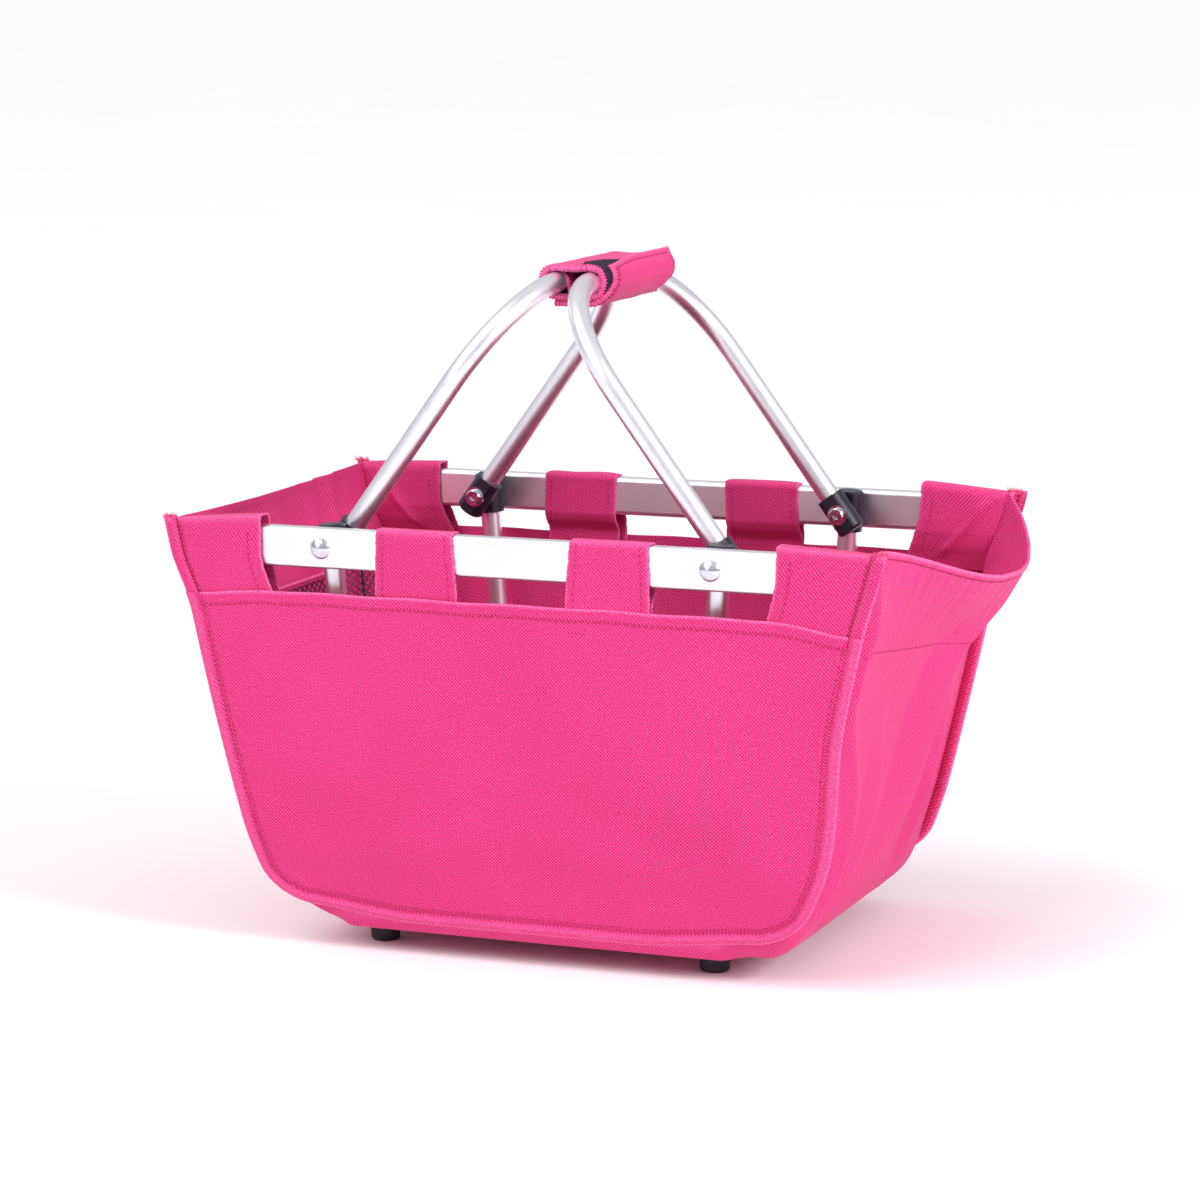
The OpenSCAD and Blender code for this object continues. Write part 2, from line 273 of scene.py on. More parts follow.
def mix_colour(tree, factor, a, b):
    """Blend two colours. Each is three numbers or a node's output."""
    made = node(tree, "Mix", data_type="RGBA")
    tree.links.new(factor, made.inputs[0])
    for socket, value in ((made.inputs[6], a), (made.inputs[7], b)):
        if isinstance(value, tuple):
            socket.default_value = (*value, 1)
        else:
            tree.links.new(value, socket)
    return made.outputs[2]


def object_point(tree, stretch=(1, 1, 1)):
    mapping = node(tree, "Mapping")
    preset(mapping, Scale=stretch)
    feed(tree, mapping, "Vector", node(tree, "TexCoord").outputs["Object"])
    return mapping.outputs["Vector"]


def dress(tree, shader, colour, roughness, height, strength, depth):
    """Connect a material's colour and roughness, and its relief as a bump."""
    feed(tree, shader, "Base Color", colour)
    feed(tree, shader, "Roughness", roughness)
    made = node(tree, "Bump")
    preset(made, Strength=strength, Distance=depth)
    feed(tree, made, "Height", height)
    feed(tree, shader, "Normal", made.outputs["Normal"])


# ---------- materials

def bands(tree, run, spacing, weight):
    """Soft parallel bands across the weave's diagonal. Along it run grows 1.414 times as fast."""
    turns = times(tree, run, 2 * math.pi / (spacing * 1.414))
    return times(tree, math_node(tree, "SINE", turns), weight)


def fabric(name, slot_name, base, deep, light, rib=1.7 * MM, yarn=1.4 * MM):
    """Coated oxford cloth: fine diagonal ribs crossed by yarns, with a soft sheen. Painted shade darkens the
    weave's valleys and painted highlight lightens its crests; edges and folds turn paler, partly from wear
    and partly as painted highlight.
    """
    material, tree, shader = new_material(name, slot_name)
    weave = node(tree, "UVMap", uv_map="weave").outputs["UV"]
    split = node(tree, "SeparateXYZ")
    tree.links.new(weave, split.inputs[0])
    u, v = split.outputs["X"], split.outputs["Y"]
    wobble = remap(tree, noise(tree, weave, 60, 2), 0, 1, -0.4 * MM, 0.4 * MM)
    ribs = bands(tree, add(tree, add(tree, u, v), wobble), rib, 0.26)
    yarns = bands(tree, math_node(tree, "SUBTRACT", u, v), yarn, 0.24)
    height = add(tree, add(tree, ribs, yarns), 0.5)
    slub = noise(tree, weave, 700, 2)
    clouds = noise(tree, weave, 9, 3)
    worn_and_lit = node(tree, "Attribute", attribute_name="wear_and_highlight").outputs["Fac"]
    # Painted shade: the deep tone fills the weave's valleys. Painted highlight: the light tone lifts its
    # crests.
    colour = mix_colour(tree, remap(tree, height, 0.1, 0.6), deep, base)
    colour = mix_colour(tree, remap(tree, height, 0.6, 1.0, 0.0, 0.5), colour, light)
    colour = mix_colour(tree, remap(tree, slub, 0.4, 0.75, 0.0, 0.2), colour, light)
    colour = mix_colour(tree, remap(tree, clouds, 0.3, 0.7, 0.0, 0.16), colour, deep)
    # Edges and folds turn paler: partly wear, partly painted highlight.
    rubbed_and_lit = times(tree, worn_and_lit, remap(tree, slub, 0.3, 0.6, 0.15, 0.6))
    colour = mix_colour(tree, rubbed_and_lit, colour, light)
    relief = add(tree, height, times(tree, slub, 0.5))
    dress(tree, shader, colour, remap(tree, slub, 0.3, 0.7, 0.62, 0.82), relief, 0.55, 0.25 * MM)
    preset(shader, Sheen_Weight=0.1, Sheen_Roughness=0.45, Sheen_Tint=(1.0, 0.62, 0.8, 1),
           Specular_IOR_Level=0.3)
    return material


def thread(name, slot_name, colour, pale):
    """Twisted sewing thread."""
    material, tree, shader = new_material(name, slot_name)
    twist = noise(tree, object_point(tree), 1400, 1)
    tone = mix_colour(tree, remap(tree, twist, 0.3, 0.7), colour, pale)
    dress(tree, shader, tone, remap(tree, twist, 0.3, 0.7, 0.5, 0.75), twist, 0.5, 0.1 * MM)
    return material


def aluminium(name, brushed):
    """Satin anodised aluminium, drawn along one direction, with faint handling marks."""
    material, tree, shader = new_material(name, "aluminium")
    grain = noise(tree, object_point(tree, brushed), 2600, 2)
    smudge = noise(tree, object_point(tree), 28, 4, 0.6)
    marks = noise(tree, object_point(tree, (1, 1, 0.2)), 160, 5, 0.75)
    # The faint lavender cast of these tones is painted reflection of a cool surround; the mottling between
    # them is random tone.
    tone = mix_colour(tree, remap(tree, smudge, 0.3, 0.7), (0.83, 0.81, 0.87), (0.90, 0.89, 0.93))
    tone = mix_colour(tree, remap(tree, grain, 0.35, 0.75, 0.0, 0.2), tone, (0.97, 0.96, 0.98))
    rough = add(tree, remap(tree, grain, 0.3, 0.7, 0.34, 0.40), remap(tree, marks, 0.55, 0.8, 0.0, 0.1))
    dress(tree, shader, tone, rough, grain, 0.05, 0.03 * MM)
    preset(shader, Metallic=1.0)
    return material


def chrome():
    """Bright plated steel of the bolts, washers, nuts and rivets."""
    material, tree, shader = new_material("bright_steel", "steel")
    haze = noise(tree, object_point(tree), 220, 4, 0.65)
    scratches = noise(tree, object_point(tree, (1, 1, 12)), 400, 3, 0.7)
    tone = mix_colour(tree, remap(tree, haze, 0.3, 0.7), (0.60, 0.60, 0.66), (0.78, 0.78, 0.84))
    rough = remap(tree, times(tree, haze, scratches), 0.12, 0.4, 0.07, 0.24)
    dress(tree, shader, tone, rough, scratches, 0.06, 0.04 * MM)
    preset(shader, Metallic=1.0)
    return material


def plastic(name, slot_name, dark, pale, rough, grain_size):
    """Moulded plastic or rubber: fine pebble grain, paler where it is scuffed."""
    material, tree, shader = new_material(name, slot_name)
    pebbles = noise(tree, object_point(tree), 1 / grain_size, 2)
    scuffs = noise(tree, object_point(tree, (1, 1, 3)), 120, 5, 0.7)
    scuffed = remap(tree, scuffs, 0.56, 0.74)
    grainy = add(tree, remap(tree, pebbles, 0.3, 0.7, rough - 0.06, rough + 0.06),
                 times(tree, scuffed, 0.15))
    dress(tree, shader, mix_colour(tree, scuffed, dark, pale), grainy, pebbles, 0.25, 0.12 * MM)
    return material


# Middle, deep and light tone of the cloth; the deep tone is also painted shade in the weave's valleys, the
# light tone painted highlight on its crests, edges and folds
PINK_TONES = ((0.80, 0.010, 0.195), (0.28, 0.002, 0.05), (1.0, 0.22, 0.50))
PINK = fabric("pink_cloth", "fabric", *PINK_TONES)
PINK_STRIP = fabric("pink_cloth_strip", "fabric_gusset", *PINK_TONES)
PINK_PAD = fabric("pink_pad_cloth", "fabric", *PINK_TONES, rib=1.5 * MM)
NAVY_LINING = fabric("navy_lining", "hook_tape", (0.012, 0.009, 0.024), (0.005, 0.004, 0.012),
                     (0.035, 0.028, 0.06), rib=1.2 * MM)
BINDING = fabric("pink_binding", "binding", *PINK_TONES, rib=1.2 * MM)
SEAM_THREAD = thread("seam_thread", "fabric", (0.30, 0.004, 0.07), (0.52, 0.015, 0.13))
EDGE_THREAD = thread("edge_thread", "fabric", (0.80, 0.03, 0.20), (1.0, 0.16, 0.38))
FRAY_THREAD = thread("loose_yarn", "fabric", (0.75, 0.03, 0.14), (1.0, 0.16, 0.34))
NET_THREAD = thread("net_thread", "mesh", (0.006, 0.005, 0.016), (0.022, 0.02, 0.045))
HOOKS = thread("hook_bristles", "hook_tape", (0.008, 0.006, 0.018), (0.03, 0.026, 0.05))
RAIL_METAL = aluminium("rail_aluminium", (0.03, 1, 1))
LEG_METAL = aluminium("leg_aluminium", (1, 1, 0.03))
HANDLE_METAL = aluminium("handle_aluminium", (0.1, 1, 0.1))
CHROME = chrome()
CAP_PLASTIC = plastic("cap_plastic", "black_plastic", (0.010, 0.007, 0.020), (0.045, 0.04, 0.065),
                      rough=0.36, grain_size=0.5 * MM)
BOARD_PLASTIC = plastic("board_plastic", "black_plastic", (0.014, 0.012, 0.022), (0.05, 0.05, 0.06),
                        rough=0.52, grain_size=1.2 * MM)
FOOT_RUBBER = plastic("foot_rubber", "black_rubber", (0.009, 0.007, 0.016), (0.05, 0.045, 0.06),
                      rough=0.6, grain_size=0.8 * MM)


# ---------- mesh helpers

def loose_mesh(name, vertices, faces, material, body="basket"):
    """A smooth-shaded mesh in one material that rides on a body."""
    mesh = bpy.data.meshes.new(name)
    mesh.from_pydata(np.asarray(vertices).tolist(), [], faces)
    mesh.shade_smooth()
    mesh.materials.append(material)
    made = bpy.data.objects.new(name, mesh)
    bpy.context.scene.collection.objects.link(made)
    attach(made, body)
    return made


def grid_faces(rows, columns):
    index = np.arange(rows * columns).reshape(rows, columns)
    return np.stack([index[:-1, :-1], index[:-1, 1:], index[1:, 1:], index[1:, :-1]], -1).reshape(-1, 4)


def cloth_sheet(name, grid, pattern, inside, materials, thickness=CLOTH, wear_and_highlight=None, body="basket"):
    """A sheet of cloth from a grid of points on its outer face. inside is a point behind that face,
    pattern the flat coordinates of its weave, and the paleness given for each point stands partly for wear
    and partly for painted highlight."""
    rows, columns = grid.shape[:2]
    points = grid.reshape(-1, 3)
    quads = grid_faces(rows, columns)
    corners = points[quads]
    facing = np.cross(corners[:, 2] - corners[:, 0], corners[:, 3] - corners[:, 1])
    if (facing * (corners.mean(1) - np.array(inside))).sum() < 0:
        quads = quads[:, ::-1]
    made = loose_mesh(name, points, quads.tolist(), materials[0], body)
    for material in materials[1:]:
        made.data.materials.append(material)
    layer = made.data.uv_layers.new(name="weave")
    layer.data.foreach_set("uv", pattern.reshape(-1, 2)[quads.ravel()].ravel())
    worn_and_lit = made.data.attributes.new("wear_and_highlight", "FLOAT", "POINT")
    worn_and_lit.data.foreach_set("value", np.zeros(len(points)) if wear_and_highlight is None else wear_and_highlight.ravel())
    solid = made.modifiers.new("thickness", "SOLIDIFY")
    solid.thickness = thickness
    solid.offset = -1
    solid.material_offset = len(materials) - 1
    return made


def add_tube(vertices, faces, rings):
    """Join rings of points into a tube. A ring of one point is a tip, and an open last ring is closed."""
    starts = list(accumulate(map(len, rings), initial=len(vertices)))
    for ring in rings:
        vertices.extend(ring)
    for low, high, low_size, high_size in zip(starts, starts[1:], map(len, rings), map(len, rings[1:])):
        for k in range(max(low_size, high_size)):
            a, b = low + k % low_size, low + (k + 1) % low_size
            c, d = high + (k + 1) % high_size, high + k % high_size
            faces.append(tuple(dict.fromkeys((a, b, c, d))))
    if len(rings[-1]) > 1:
        faces.append(tuple(range(starts[-2], starts[-1])))


def seam_stitches(name, rows, material=SEAM_THREAD, length=3.2 * MM, gap=0.9 * MM, thick=0.55 * MM,
                  body="basket"):
    """Stitches along several lines. Each row is (line, outward direction at each of its points)."""
    vertices, faces = [], []
    turn = np.linspace(0, 2 * math.pi, 5, endpoint=False)[:, None]
    for line, outward in rows:
        travelled = along(line)
        outward = np.broadcast_to(outward, line.shape)
        for start in np.arange(gap, travelled[-1] - length, length + gap):
            spine = sampled(line, travelled, start + length * np.array([0, 0.16, 0.84, 1]))
            up = unit(sampled(outward, travelled, start))
            side = unit(np.cross(spine[-1] - spine[0], up))
            spine = spine + up * np.array([[-0.25], [0.22], [0.22], [-0.25]]) * thick
            ring = thick / 2 * (side * np.cos(turn) + up * np.sin(turn))
            add_tube(vertices, faces, [spine[:1], spine[1] + ring, spine[2] + ring, spine[3:]])
    return loose_mesh(name, vertices, faces, material, body)


# ---------- shape of the bag

def side_x(z):
    """Half-length of the bag's flat outline at a height."""
    return TOP_HALF - (TOP_Z - z) * SLOPE


def outline_half(z):
    """The same with the rounded lower corners."""
    round_part = ARC_X + np.sqrt(np.clip(CORNER_R**2 - (ARC_Z - z) ** 2, 0, None))
    return np.where(z < ARC_Z - CORNER_R * SIN, round_part, side_x(z))


def inset(x, z):
    """How far a point of a long face lies inside its outline."""
    side = (side_x(z) - np.abs(x)) * COS
    past_x, past_z = np.abs(x) - ARC_X, z - ARC_Z
    in_corner = (past_x > 0) & (past_z < -past_x * SLOPE)
    return np.where(in_corner, CORNER_R - np.hypot(past_x, past_z), np.minimum(side, z - FLOOR_Z))


def hang(x, z, y_share, floor_share=1.0):
    """Where a point of the flat pattern hangs: the left side is drawn in, the lower right front bellies
    out, the right top corners flare, and the bottom seams stand above the floor panel. y_share is -1 on
    the front face and 1 on the rear one. floor_share is how far the point is lifted with those seams."""
    front_share = (1 - y_share) / 2
    left = 6 * MM * step_down(z, 250, 40) * step_up(-x, 60, 100)
    right = 8 * MM * bump_at(z, 88, 85) * front_share
    flare = (7 - 4 * front_share) * MM * step_up(z, 215, 50)
    lift = 7 * MM + 7 * MM * step_up(np.abs(x), 70, 90)
    pulled = x + left + (right + flare) * step_up(x, 60, 100)
    return pulled, z + floor_share * lift * (1 - smooth((z - FLOOR_Z) / (70 * MM)))


def face_y(z):
    """Distance of a long panel's outer face from the middle of the bag."""
    drop = np.clip((HEM_Z - HEM_LEAN - z) / (HEM_Z - HEM_LEAN - FLOOR_Z), 0, 1)
    return PANEL_Y - LOW_LEAN * drop**2.4


def flange_relief(d):
    """Profile across the stitched flange: a rolled edge, a puffed border and the seam's groove."""
    edge = -0.9 * MM * (1 - smooth(d / (1.6 * MM)))
    puff = 0.8 * MM * bump((d - 0.5 * SEAM) / (0.55 * SEAM))
    groove = -1.5 * MM * bell((d - SEAM) / (1.5 * MM))
    dimple = -0.35 * MM * bell((d - STITCH_ROW) / (0.9 * MM))
    return edge + puff + groove + dimple


def puckers(x, z, d, seed):
    """Small gathers that run in from the stitching."""
    uneven = 0.5 + 0.5 * waves(x, z, seed, 60 * MM)
    fine = np.sin(2 * math.pi * (x + 0.8 * z) / (9 * MM) + 3 * waves(x, z, seed + 1, 40 * MM))
    return 0.3 * MM * uneven * fine * bell_at(d, 13, 6)


def hem_line(x):
    """Height of a long panel's hem: it dips at both corners and a little between its supports."""
    corner = step_up(np.abs(x), 160, 58)
    slack = 0.3 * MM * np.cos(2 * math.pi * x / (63 * MM))
    return HEM_Z + 0.8 * MM - (5.5 + 1.5 * np.sign(x)) * MM * corner + slack * (1 - corner)


def hung_point(x, z, face, out):
    """A point of a long face, from its place in the flat pattern and its distance from the bag's middle."""
    hung_x, hung_z = hang(x, z, face)
    return joined(hung_x, face * out, hung_z)


def panel_point(x, z, face, proud=0.0):
    """A point of a long panel's outer face. proud lifts it off the cloth."""
    seed = 10 + face
    d = inset(x, z)
    inner = smooth((d - SEAM) / (50 * MM))
    billow = 1.6 * MM * waves(x, z, seed, 190 * MM) * inner
    low = step_down(z, 190, 120)
    drag = 0.9 * MM * waves(x * 0.35, z * 1.4, seed + 5, 60 * MM) * inner * low
    relief = flange_relief(d) + puckers(x, z, d, seed)
    return hung_point(x, z, face, face_y(z) + billow + drag + relief + proud)


def outline_line(d, top, count=60):
    """Points (x, z) down the left side, round the bottom and up the right side, d inside the outline."""
    radius = CORNER_R - d
    sides = np.linspace(top, ARC_Z - radius * SIN, count)
    down = joined(d / COS - side_x(sides), sides)
    turn = np.linspace(math.pi + TILT, 1.5 * math.pi, 14)[1:]
    corner = joined(-ARC_X + radius * np.cos(turn), ARC_Z + radius * np.sin(turn))
    floor_x = np.linspace(-ARC_X, ARC_X, count)[1:-1]
    floor = joined(floor_x, FLOOR_Z + d)
    return np.concatenate([down, corner, floor, corner[::-1] * [-1, 1], down[::-1] * [-1, 1]])


# ---------- long panels

def long_panel(name, face, cad_node):
    """A long face of the bag, with its flat size and the area inside its outline."""
    shares = np.linspace(0, 1, PANEL_ROWS)[:, None] ** 1.25
    flat_z = FLOOR_Z + shares * (HEM_Z - FLOOR_Z)
    spread = np.linspace(-1, 1, PANEL_COLUMNS)[None, :]
    x = spread * outline_half(flat_z)
    z = FLOOR_Z + shares * (hem_line(x) - FLOOR_Z)
    x = spread * outline_half(z)
    d = inset(x, z)
    # Paler at the flange's rolled edge and along its puffed border: partly wear, partly painted highlight.
    wear_and_highlight = np.clip(bell(d / (1.2 * MM)) + 0.5 * bell((d - 0.5 * SEAM) / (2 * MM)), 0, 1)
    panel = cloth_sheet(name, panel_point(x, z, face), joined(x, z), MIDDLE, [PINK], wear_and_highlight=wear_and_highlight)
    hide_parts(cad_node)
    flat = outline_line(0, HEM_Z)
    shifted = np.roll(flat, -1, 0)
    area = abs((flat[:, 0] * shifted[:, 1] - flat[:, 1] * shifted[:, 0]).sum()) / 2
    return panel, (2 * panel_high.x, HEM_Z - FLOOR_Z), area


def folded_band(name, edge, below, outward, width, material=PINK, proud=0.15 * MM):
    """A hem folded over an edge. edge and below are matching points on the cloth's outer face, below
    being further down it, and outward the cloth's outward directions there."""
    down = unit(below - edge)
    inward = CLOTH + proud
    corners = [(proud, width), (proud, -0.5 * MM), (-inward, -0.5 * MM), (-inward, width + 1.5 * MM)]
    profile = respaced(rounded(corners, 0.6 * MM, 4), 30)
    grid = np.stack([edge + outward * out + down * drop for out, drop in profile])
    travelled = along(profile)[:, None]
    pattern = joined(along(edge)[None, :], travelled)
    # Paler along the fold over the edge: painted highlight, partly wear.
    wear_and_highlight = np.broadcast_to(bell((travelled - width) / (1.0 * MM)), pattern.shape[:2])
    middle = (edge + down * width / 2 - outward * CLOTH / 2).mean(0)
    return cloth_sheet(name, grid, pattern, middle, [material], thickness=0.5 * MM, wear_and_highlight=wear_and_highlight.copy())


def panel_hem(name, face):
    """The folded hem of a long panel, between its corner seams, and its stitch line."""
    reach = side_x(hem_line(panel_high.x)) - (SEAM + 1.5 * MM) / COS
    x = np.linspace(-reach, reach, PANEL_HEM_COLUMNS)
    edge = panel_point(x, hem_line(x), face)
    below = panel_point(x, hem_line(x) - HEM_BAND, face)
    outward = np.array([0, face, 0])
    band = folded_band(name, edge, below, outward, HEM_BAND)
    stitch_line = panel_point(x, hem_line(x) - HEM_BAND - 1.0 * MM, face, THREAD_LIFT)
    return band, (stitch_line, outward)


# ---------- the strip between the panels

def fold(y, ridge_y, height, front_width, rear_width):
    """A creased ridge with a wide and a steep side."""
    front = 1 - (ridge_y - y) / front_width
    rear = 1 - (y - ridge_y) / rear_width
    return height * np.clip(soft_min([front, rear, 1], 0.06), 0, None)


def right_belly(z, y, seam_y):
    """Below its hem the right end stands out in one broad fold that slants forward and down. Narrower
    folds run beside the front seam, in front of the broad one and behind it."""
    front_y = np.maximum(-92 * MM - 31 * MM * ((z - 80 * MM) / (87 * MM)) ** 2, -seam_y + 6 * MM)
    rear_y = -12 * MM + 0.28 * z + 40 * MM * step_up(z, 165, 60)
    above_floor = np.clip(z - 18 * MM, 0, None)
    front_height, rear_height = 0.03 * above_floor, 0.07 * above_floor
    rise = (rear_height - front_height) / (rear_y - front_y)
    slack = soft_min(
        [
            front_height * (y + seam_y) / (front_y + seam_y),
            front_height + rise * (y - front_y),
            rear_height * (seam_y - y) / (seam_y - rear_y),
        ],
        0.6 * MM,
    )
    lower = bump_at(z, 95, 95)
    front = fold(y, front_y, 6.5 * MM * smooth(above_floor / (45 * MM)), 14 * MM, 18 * MM)
    middle = fold(y, 0.6 * front_y + 0.4 * rear_y, 5 * MM * lower, 22 * MM, 7 * MM)
    broad = fold(y, rear_y, 11 * MM * smooth(above_floor / (90 * MM)), 44 * MM, 11 * MM)
    behind = fold(y, 0.45 * rear_y + 0.55 * seam_y, 8 * MM * lower, 16 * MM, 9 * MM)
    return slack + front + middle + broad + behind


def hem_share(share):
    """How far the right end's hem has sagged, from 0 at the corners to 1 low down near the rear."""
    across = (share + 1) / 2
    forward = np.sin(0.5 * math.pi * np.clip(across / 0.8, 0, 1)) ** 1.4
    back = np.sqrt(np.clip(1 - ((across - 0.8) / 0.2) ** 2, 0, 1))
    return np.where(across < 0.8, forward, back)


def left_belly(z, y, seam_y):
    """The left end is nearly taut, with soft folds towards its rear and a slanting crease high up."""
    crown = 4.5 * MM * (1 - np.abs(y / seam_y) ** 4)
    rear = 3.2 * MM * np.sin(2 * math.pi * (y - 0.25 * z) / (31 * MM)) * bump_at(y, 78, 50)
    middle = -5.0 * MM * bell((y + 0.9 * (z - 240 * MM)) / (9 * MM)) * bump_at(z, 225, 38)
    return crown + (rear + middle) * step_up(z, 90, 120)


def strip_seam_y(z):
    """Where the strip is sewn to the long faces, measured from the middle of the bag."""
    return np.minimum(face_y(z) - 2.0 * MM, RING_Y - 1.6 * MM)


def pinned_share(y, z):
    """Share of the way to where an end is held: to its seam, or to the sleeves' inner layer higher up."""
    held_y = strip_seam_y(z) + (RING_IN_Y - strip_seam_y(z)) * step_up(z, 200, 35)
    return np.clip(y / held_y, -1, 1)


def end_top(side, y_share):
    """Height of an end's hem across the bag."""
    share = pinned_share(y_share * (RING_Y - 1.6 * MM), TOP_Z)
    if side == RIGHT:
        return TOP_Z - END_HEM_SAG * hem_share(share)
    return TOP_Z - 2.5 * MM * (1 - share**2)


def strip_point(side, x, z, normal_x, normal_z, y_share, proud=0.0):
    """A point of the strip: (x, z) on the seam's path, pushed out along the path's normal. Over the base
    board it stays flat nearly to its seams. Past the board it rises with them, mostly at the left."""
    seam_y = strip_seam_y(z)
    y = y_share * seam_y
    upright = normal_x**2
    past_board = np.abs(x) - board_high.x
    over_board = (1 - upright) * (1 - smooth(past_board / (16 * MM)))
    board_share = (board_high.y + 2 * MM) / strip_seam_y(FLOOR_Z)
    flat_share = FLAT_SHARE + (board_share - FLAT_SHARE) * over_board
    near_seam = np.clip((np.abs(y_share) - flat_share) / (1 - flat_share), 0, 1)
    held = 1 - np.sqrt(1 - near_seam**2)
    rise = step_up(past_board, 1, 40) * np.where(x < 0, 0.85, 0.1)
    hung_x, hung_z = hang(x, z, y_share, np.maximum(held, rise))
    share = pinned_share(y, z)
    if side == RIGHT:
        curl = 0.7 * MM * waves(y, 0 * y, 33, 17 * MM) * (1 - share**4)
        open_top = END_HEM_OUT * hem_share(share) + curl
        near_hem = 1 - smooth((end_top(side, y_share) - z) / (55 * MM))
        belly = right_belly(z, share * seam_y, seam_y) * (1 - near_hem) + open_top * near_hem
    else:
        belly = left_belly(z, share * seam_y, seam_y)
    ripple = 0.5 * MM * waves(y, z + 0.3 * x, 31, 70 * MM) * (1 - share**6)
    push = upright * (belly + ripple) + (1 - upright) * SEAM * (1 - held) + proud
    return joined(hung_x + normal_x * push, y, hung_z + normal_z * push)


def end_point(side, below_hem, y_share, proud=0.0):
    """A point of an end, a given height below its hem."""
    z = end_top(side, y_share) - below_hem
    return strip_point(side, side * (side_x(z) - SEAM / COS), z, side * COS, -SIN, y_share, proud)


def end_outward(side, line):
    """Outward directions along a line across an end."""
    run = unit(np.gradient(line, axis=0))
    out = unit(np.cross(run, [-side * SIN, 0, -COS]))
    return out * np.sign(out[:, :1] * side)


def gusset_strip():
    """One strip of cloth: down the left end, along the floor and up the right end."""
    even = np.linspace(-1, 1, STRIP_COLUMNS)
    y_share = (0.55 * np.sin(even * math.pi / 2) + 0.45 * even)[None, :]
    drop = np.linspace(0, 1, END_ROWS)[:, None]
    radius = CORNER_R - SEAM
    arc_top = ARC_Z - radius * SIN
    turn = np.linspace(TILT, math.pi / 2, CORNER_ROWS)[1:, None]
    upright_run = (TOP_Z - arc_top) / COS
    to_middle = upright_run + radius * (math.pi / 2 - TILT) + ARC_X
    blocks, runs = [], []
    for side in (LEFT, RIGHT):
        top = end_top(side, y_share)
        upright = end_point(side, drop * (top - arc_top), y_share)
        corner = strip_point(side, side * (ARC_X + radius * np.cos(turn)), ARC_Z - radius * np.sin(turn),
                             side * np.cos(turn), -np.sin(turn), y_share)
        blocks.append(np.concatenate([upright, corner]))
        flat_run = (TOP_Z - top + drop * (top - arc_top)) / COS
        runs.append(np.concatenate([flat_run, upright_run + radius * (turn - TILT) + 0 * y_share]))
    floor_x = np.linspace(-ARC_X, ARC_X, FLOOR_ROWS)[1:-1, None]
    floor = strip_point(LEFT, floor_x, FLOOR_Z + SEAM, 0.0, -1.0, y_share)
    length = 2 * to_middle
    grid = np.concatenate([blocks[0], floor, blocks[1][::-1]])
    run = np.concatenate([runs[0], to_middle + floor_x + 0 * y_share, length - runs[1][::-1]])
    steps = np.linalg.norm(np.diff(grid, axis=1), axis=2)
    across = np.concatenate([np.zeros((len(grid), 1)), np.cumsum(steps, axis=1)], 1)
    across -= across[:, -1:] / 2
    # Paler along both edges where the strip turns into its seams: partly wear, partly painted highlight.
    wear_and_highlight = 0.6 * bell((1 - np.abs(y_share)) / 0.01) + 0 * run
    strip = cloth_sheet("gusset_strip", grid, joined(across, run), MIDDLE, [PINK_STRIP], wear_and_highlight=wear_and_highlight)
    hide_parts("end_panel_left", "end_panel_right", "floor_panel")
    return strip, (2 * (PANEL_Y - 2 * MM), length)


def end_hem(name, side):
    """The folded hem of an end and its two stitch lines, one at the hem and one lower down."""
    y_share = np.linspace(-0.985, 0.985, END_HEM_COLUMNS)
    edge = end_point(side, 0, y_share)
    below = end_point(side, END_BAND, y_share)
    band = folded_band(name, edge, below, end_outward(side, edge), END_BAND, PINK_STRIP)
    rows = []
    for depth in (END_BAND + 0.6 * MM, END_STITCH + 12 * MM * smooth((0.3 - y_share) / 1.2)):
        line = end_point(side, depth, y_share)
        out = end_outward(side, line)
        rows.append((line + out * THREAD_LIFT, out))
    return band, rows


# ---------- flanges

def flange_back(name, face):
    """The strip's own seam allowance, which lies behind the panel's border all the way round."""
    # In mm: how far in from the flange's edge, and how far out from the panel's face
    corners = [(8.6, -1.2), (0.9, -1.25), (0.3, -2.1), (0.9, -3.0), (8.6, -2.9)]
    profile = rounded(corners, 0.6, 3) * MM
    rows = []
    for d, out in profile:
        line = respaced(outline_line(d, TOP_Z + 1.0 * MM), FLANGE_COLUMNS)
        x, z = line[:, 0], line[:, 1]
        wobble = 0.5 * MM * waves(x, z, 71 + face, 45 * MM) * smooth((SEAM - d) / SEAM)
        rows.append(hung_point(x, z, face, face_y(z) + out + wobble))
    grid = np.stack(rows)
    pattern = joined(along(grid[0])[None, :], along(profile)[:, None])
    # Paler at the flange's rolled edge: partly wear, partly painted highlight.
    wear_and_highlight = np.broadcast_to(bell_at(profile[:, :1], 0.3, 1.2), pattern.shape[:2]).copy()
    outside = (0, face * 0.5, MIDDLE[2])
    return cloth_sheet(name, grid, pattern, outside, [PINK_STRIP], thickness=0.3 * MM, wear_and_highlight=wear_and_highlight)


def flange_rows(face):
    """The topstitching and the seam itself, over the panel and the sleeves above it."""
    rows = []
    for d, lift in ((STITCH_ROW, THREAD_LIFT), (SEAM + 0.2 * MM, -THREAD_LIFT)):
        line = respaced(outline_line(d, TOP_Z - 2 * MM), STITCH_POINTS)
        x, z = line[:, 0], line[:, 1]
        on_panel = panel_point(x, np.minimum(z, HEM_Z), face, lift)
        on_sleeve = sleeve_face(x, z, face, lift)
        rows.append((np.where((z < hem_line(x))[:, None], on_panel, on_sleeve), (0, face, 0)))
    return rows


def flange_back_row(face):
    """The stitch line on the flange's back."""
    line = respaced(outline_line(2.6 * MM, TOP_Z - 3 * MM), STITCH_POINTS)
    x, z = line[:, 0], line[:, 1]
    return hung_point(x, z, face, face_y(z) - 3.15 * MM), (0, -face, 0)


# ---------- sleeves and belt loops on the rails

